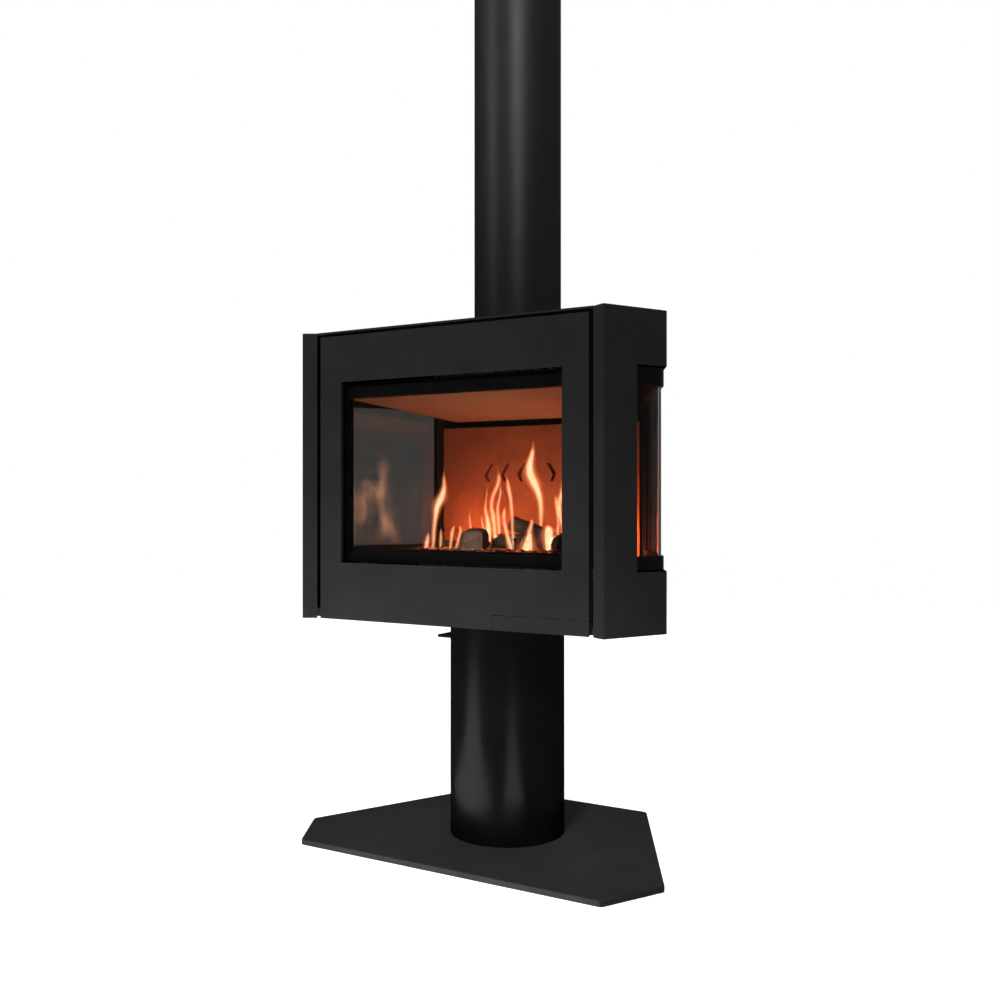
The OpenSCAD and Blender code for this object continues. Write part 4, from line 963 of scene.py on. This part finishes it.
class PEDESTALFIRE_OT_chamber(bpy.types.Operator):
    """Finishes the chamber: painted shell, board walls, tray, pilot and air boxes."""

    bl_idname = "pedestal_fire.chamber"
    bl_label = "Fire chamber"

    def execute(self, context):
        black = stove_paint("Stove paint on steel, chamber", "121110", "1d1b1a")
        frames = stove_paint("Stove paint on steel, pane frames", "050505", "090909", rough=0.6)
        wall = vermiculite("Pressed vermiculite board, back wall", "8e5e48", "7f513c", "a07358")
        baffle = vermiculite("Pressed vermiculite board, baffle", "8c7668", "7c685a", "9a846f")
        zinc = spangled_zinc("Aluminised steel sheet", "a4a6a6", "7c7f80")
        burner = metal("Heat-tinted stainless burner", "6b5a4b", "3e3530", 0.45, streak_mm=14)
        pilot = metal("Stainless pilot, heat-tinted", "a89f92", "6d6258", 0.35, streak_mm=5)
        dress(black, "chamber_shell", "chamber_floor", "chamber_roof")
        for name in ("front_glass_frame", "left_glass_frame", "right_glass_frame"):
            softened(name, frames, 0.5)
        softened("back_wall", wall, 0.8)
        softened("ceiling_baffle", baffle, 0.8)
        dress(zinc, "burner_box", "air_duct", "air_box", "chamber_legs")
        dress(burner, "burner_tray")
        dress(pilot, "pilot_burner")
        return {"FINISHED"}


class PEDESTALFIRE_OT_panes(bpy.types.Operator):
    """Finishes the flat front pane and the bent side panes."""

    bl_idname = "pedestal_fire.panes"
    bl_label = "Panes"

    def execute(self, context):
        tint = "7c7b79"
        glass = smoked_glass("Smoked glass ceramic, coated", tint)
        coated = smoked_glass("Smoked glass ceramic, heat-reflecting side", tint, mirror=0.15)

        def inside_rear(face):
            """Whether a face is the large one inside, behind the bend."""
            return face.normal.x * face.center.x < 0 and face.center.y > -60 * MM and face.area > 1e-3

        softened("front_glass", glass, 0.4)
        for name in ("left_glass", "right_glass"):
            second_finish(softened(name, glass, 0.4), coated, inside_rear)
        return {"FINISHED"}


class PEDESTALFIRE_OT_seals(bpy.types.Operator):
    """Lays the plaited rope seals behind the panes."""

    bl_idname = "pedestal_fire.seals"
    bl_label = "Rope seals"

    def execute(self, context):
        rope = plaited_rope("Glass-fibre rope, plaited, black", "161514", "35322f")
        low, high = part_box("front_rope_seal")
        wide, deep = 4.4 * MM, (high.y - low.y) / 2
        middle = (low.y + high.y) / 2
        line = rounded_window(
            low.x + wide, high.x - wide, low.z + wide, high.z - wide, radius=6 * MM, step=STITCH * MM)
        stops = [(Vector((p.x, middle, p.y)), Vector((0, -1, 0))) for p in line]
        plait = mesh_of("front_rope_plait", *rope_loop(stops, wide, deep))
        piece("front_rope_plait", plait, rope, node="front_rope_seal")

        low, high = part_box("side_rope_seals")
        line = rounded_window(SEAL_FROM, SEAL_TO, low.z / MM + 4, high.z / MM - 4, radius=5, step=STITCH)
        stops = [on_side(p.x, p.y, SEAL_DEPTH) for p in line]
        verts, faces = rope_loop(stops, SEAL_HALF_WIDTH * MM, SEAL_HALF_DEPTH * MM)
        plaits = joined("side_rope_plaits", [
            ([(v.x * side, v.y, v.z) for v in verts], faces) for side in (1, -1)])
        piece("side_rope_plaits", plaits, rope, node="side_rope_seals")
        return {"FINISHED"}


class PEDESTALFIRE_OT_logs(bpy.types.Operator):
    """Casts the log set, the grainy bed and the granules on it."""

    bl_idname = "pedestal_fire.logs"
    bl_label = "Logs and bed"

    def execute(self, context):
        low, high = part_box("burner_bed")
        bark = ceramic_log("Ceramic-fibre log, hand-sprayed", high.z)
        piece("log_set_cast", build_logs(high.z), bark, node="log_set")
        grains = ember("Burner granules, dull and glowing", "1c1512", "ff4a10", 1.4)
        piece("burner_bed_grain", build_bed(low, high), grains, node="burner_bed")
        pilot_low, pilot_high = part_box("pilot_burner")
        pilot = ((pilot_low.x + pilot_high.x) / 2, (pilot_low.y + pilot_high.y) / 2, 18 * MM, 12 * MM)
        margin = Vector((6 * MM, 6 * MM, 0))
        chips = build_granules(low + margin, high - margin, 3.4 * MM, 420, pilot)
        hot = ember("Ember granules, glowing", "2a1a12", "ff5a18", 2.8)
        piece("ember_granules", chips, hot, node="ember_chips")
        return {"FINISHED"}


class PEDESTALFIRE_OT_flames(bpy.types.Operator):
    """Raises the flames: a veil of dim red gas, an orange body and a pale core."""

    bl_idname = "pedestal_fire.flames"
    bl_label = "Flames"

    def execute(self, context):
        power = context.scene.fire_finishes.flame
        for name, widen, cut, colour, share in (
                ("flames_veil", 1.9, 0.0, "ff6a2c", 0.3),
                ("flames_body", 1.35, 0.03, "ff9454", 0.8),
                ("flames_core", 0.75, 0.1, "ffe0b8", 1.9)):
            gas = flame_gas("Burning gas, " + name.split("_")[1], colour, power * share)
            o = piece(name, build_flames(name, widen, cut), gas)
            o.visible_diffuse = False
            o.visible_shadow = False
        return {"FINISHED"}


class PEDESTALFIRE_OT_controls(bpy.types.Operator):
    """Finishes the valve, the pipes, the knobs, the igniter and the receiver."""

    bl_idname = "pedestal_fire.controls"
    bl_label = "Controls"

    def execute(self, context):
        knob = moulded_plastic("Black ABS, moulded", "1b1b1c", "262627")
        red = moulded_plastic("Red PBT button, moulded", "7e1f18", "93281f", rough=0.35)
        case = moulded_plastic("Black polycarbonate case, moulded", "141414", "1e1e1f", rough=0.5)
        cast = metal("Die-cast aluminium valve body", "a6a8aa", "84868a", 0.48, streak_mm=3, pits=0.2)
        zinc = metal("Zinc-plated steel bracket", "9b9ea1", "74787b", 0.4, streak=(0.2, 1, 1))
        brass = metal("Brass pipe, drawn", "b5914f", "8a6c38", 0.3, streak_mm=3)
        aluminium = metal("Aluminium pipe, drawn", "b4b6b8", "94979a", 0.35, streak_mm=3)
        softened("ignition_knob", knob, 0.25, body="ignition")
        softened("flame_knob", knob, 0.25, body="flame")
        softened("igniter_button", red, 0.4, body="button")
        softened("igniter_barrel", case, 0.3)
        softened("receiver_box", case, 0.8)
        softened("gas_valve", cast, 0.8)
        softened("control_bracket", zinc, 0.3)
        dress(brass, "supply_pipe")
        dress(aluminium, "burner_pipe")
        return {"FINISHED"}


class PEDESTALFIRE_OT_stage(bpy.types.Operator):
    """Sets the floor, the surround, the lights and the camera."""

    bl_idname = "pedestal_fire.stage"
    bl_label = "Stage"

    def execute(self, context):
        s = context.scene.fire_stage
        scene = context.scene
        half = s.floor_size / 2
        corners = [(-half, -half, 0), (half, -half, 0), (half, half, 0), (-half, half, 0)]
        mesh = mesh_of("studio_floor", corners, [(0, 1, 2, 3)], smooth=False)
        floor = bpy.data.objects.new("studio_floor", mesh)
        scene.collection.objects.link(floor)
        floor.location.z = -0.5 * MM
        mesh.materials.append(pale_floor("Painted studio floor, white"))
        surround(scene)

        keep_off_panes()
        soft_light("Low softbox", s.key, 0.5, 1.4, (-0.6, -0.7, 0.02), (-0.6, -0.7, 1), turn=38.7)
        rim = 0.15 * s.key
        soft_light("Low right softbox", rim, 0.2, 0.7, (0.4, -0.5, 0.02), (0.4, -0.5, 1), turn=-36.7)
        soft_light("Side softbox", s.side, 0.5, 1.2, (-1.85, -2.3, 2.2), (0, 0, 1.8), spread=18)
        soft_light("Upper softbox", s.top, 1.0, 0.9, (1.4, -2.6, 2.4), (0, 0, 1.65), spread=20)
        soft_light("Overhead softbox", s.high, 2.4, 2.4, (0.4, -2.8, 4.4), (0, 0, 0.4))
        soft_light("Front softbox", s.front, 0.6, 0.4, (0.5, -2.2, 1.9), (0, -0.15, 0), spread=20)
        soft_light("Rear softbox", s.rear, 2.4, 2.0, (-0.6, 3.2, 3.0), (0, 0.1, 0.5))
        inner_glow(scene.fire_finishes.glow)

        camera = bpy.data.cameras.new("Camera")
        camera.lens = s.lens_mm
        camera.sensor_width = 36.0
        eye = bpy.data.objects.new("Camera", camera)
        eye.location = EYE
        eye.rotation_euler = (math.radians(90), 0, EYE_TURN)
        scene.collection.objects.link(eye)
        scene.camera = eye
        scene.view_settings.view_transform = "Standard"
        return {"FINISHED"}


OPERATORS = (
    PEDESTALFIRE_OT_metalwork, PEDESTALFIRE_OT_flue, PEDESTALFIRE_OT_fasteners, PEDESTALFIRE_OT_chamber,
    PEDESTALFIRE_OT_panes, PEDESTALFIRE_OT_seals, PEDESTALFIRE_OT_logs, PEDESTALFIRE_OT_flames,
    PEDESTALFIRE_OT_controls, PEDESTALFIRE_OT_stage,
)


class PEDESTALFIRE_PT_panel(bpy.types.Panel):
    """The fire's pieces in the 3D view's sidebar."""

    bl_label = "Pedestal gas fire"
    bl_space_type = "VIEW_3D"
    bl_region_type = "UI"
    bl_category = "Fire"

    def draw(self, context):
        for group in (context.scene.fire_finishes, context.scene.fire_stage):
            for key in group.__annotations__:
                self.layout.prop(group, key)
        for op in OPERATORS:
            self.layout.operator(op.bl_idname)


CLASSES = (FireFinishes, FireStage, *OPERATORS, PEDESTALFIRE_PT_panel)


def register():
    for c in CLASSES:
        bpy.utils.register_class(c)
    bpy.types.Scene.fire_finishes = PointerProperty(type=FireFinishes)
    bpy.types.Scene.fire_stage = PointerProperty(type=FireStage)


def unregister():
    del bpy.types.Scene.fire_finishes
    del bpy.types.Scene.fire_stage
    for c in reversed(CLASSES):
        bpy.utils.unregister_class(c)


def main():
    register()
    for op in OPERATORS:
        group, name = op.bl_idname.split(".")
        getattr(getattr(bpy.ops, group), name)()


if __name__ == "__main__":
    main()
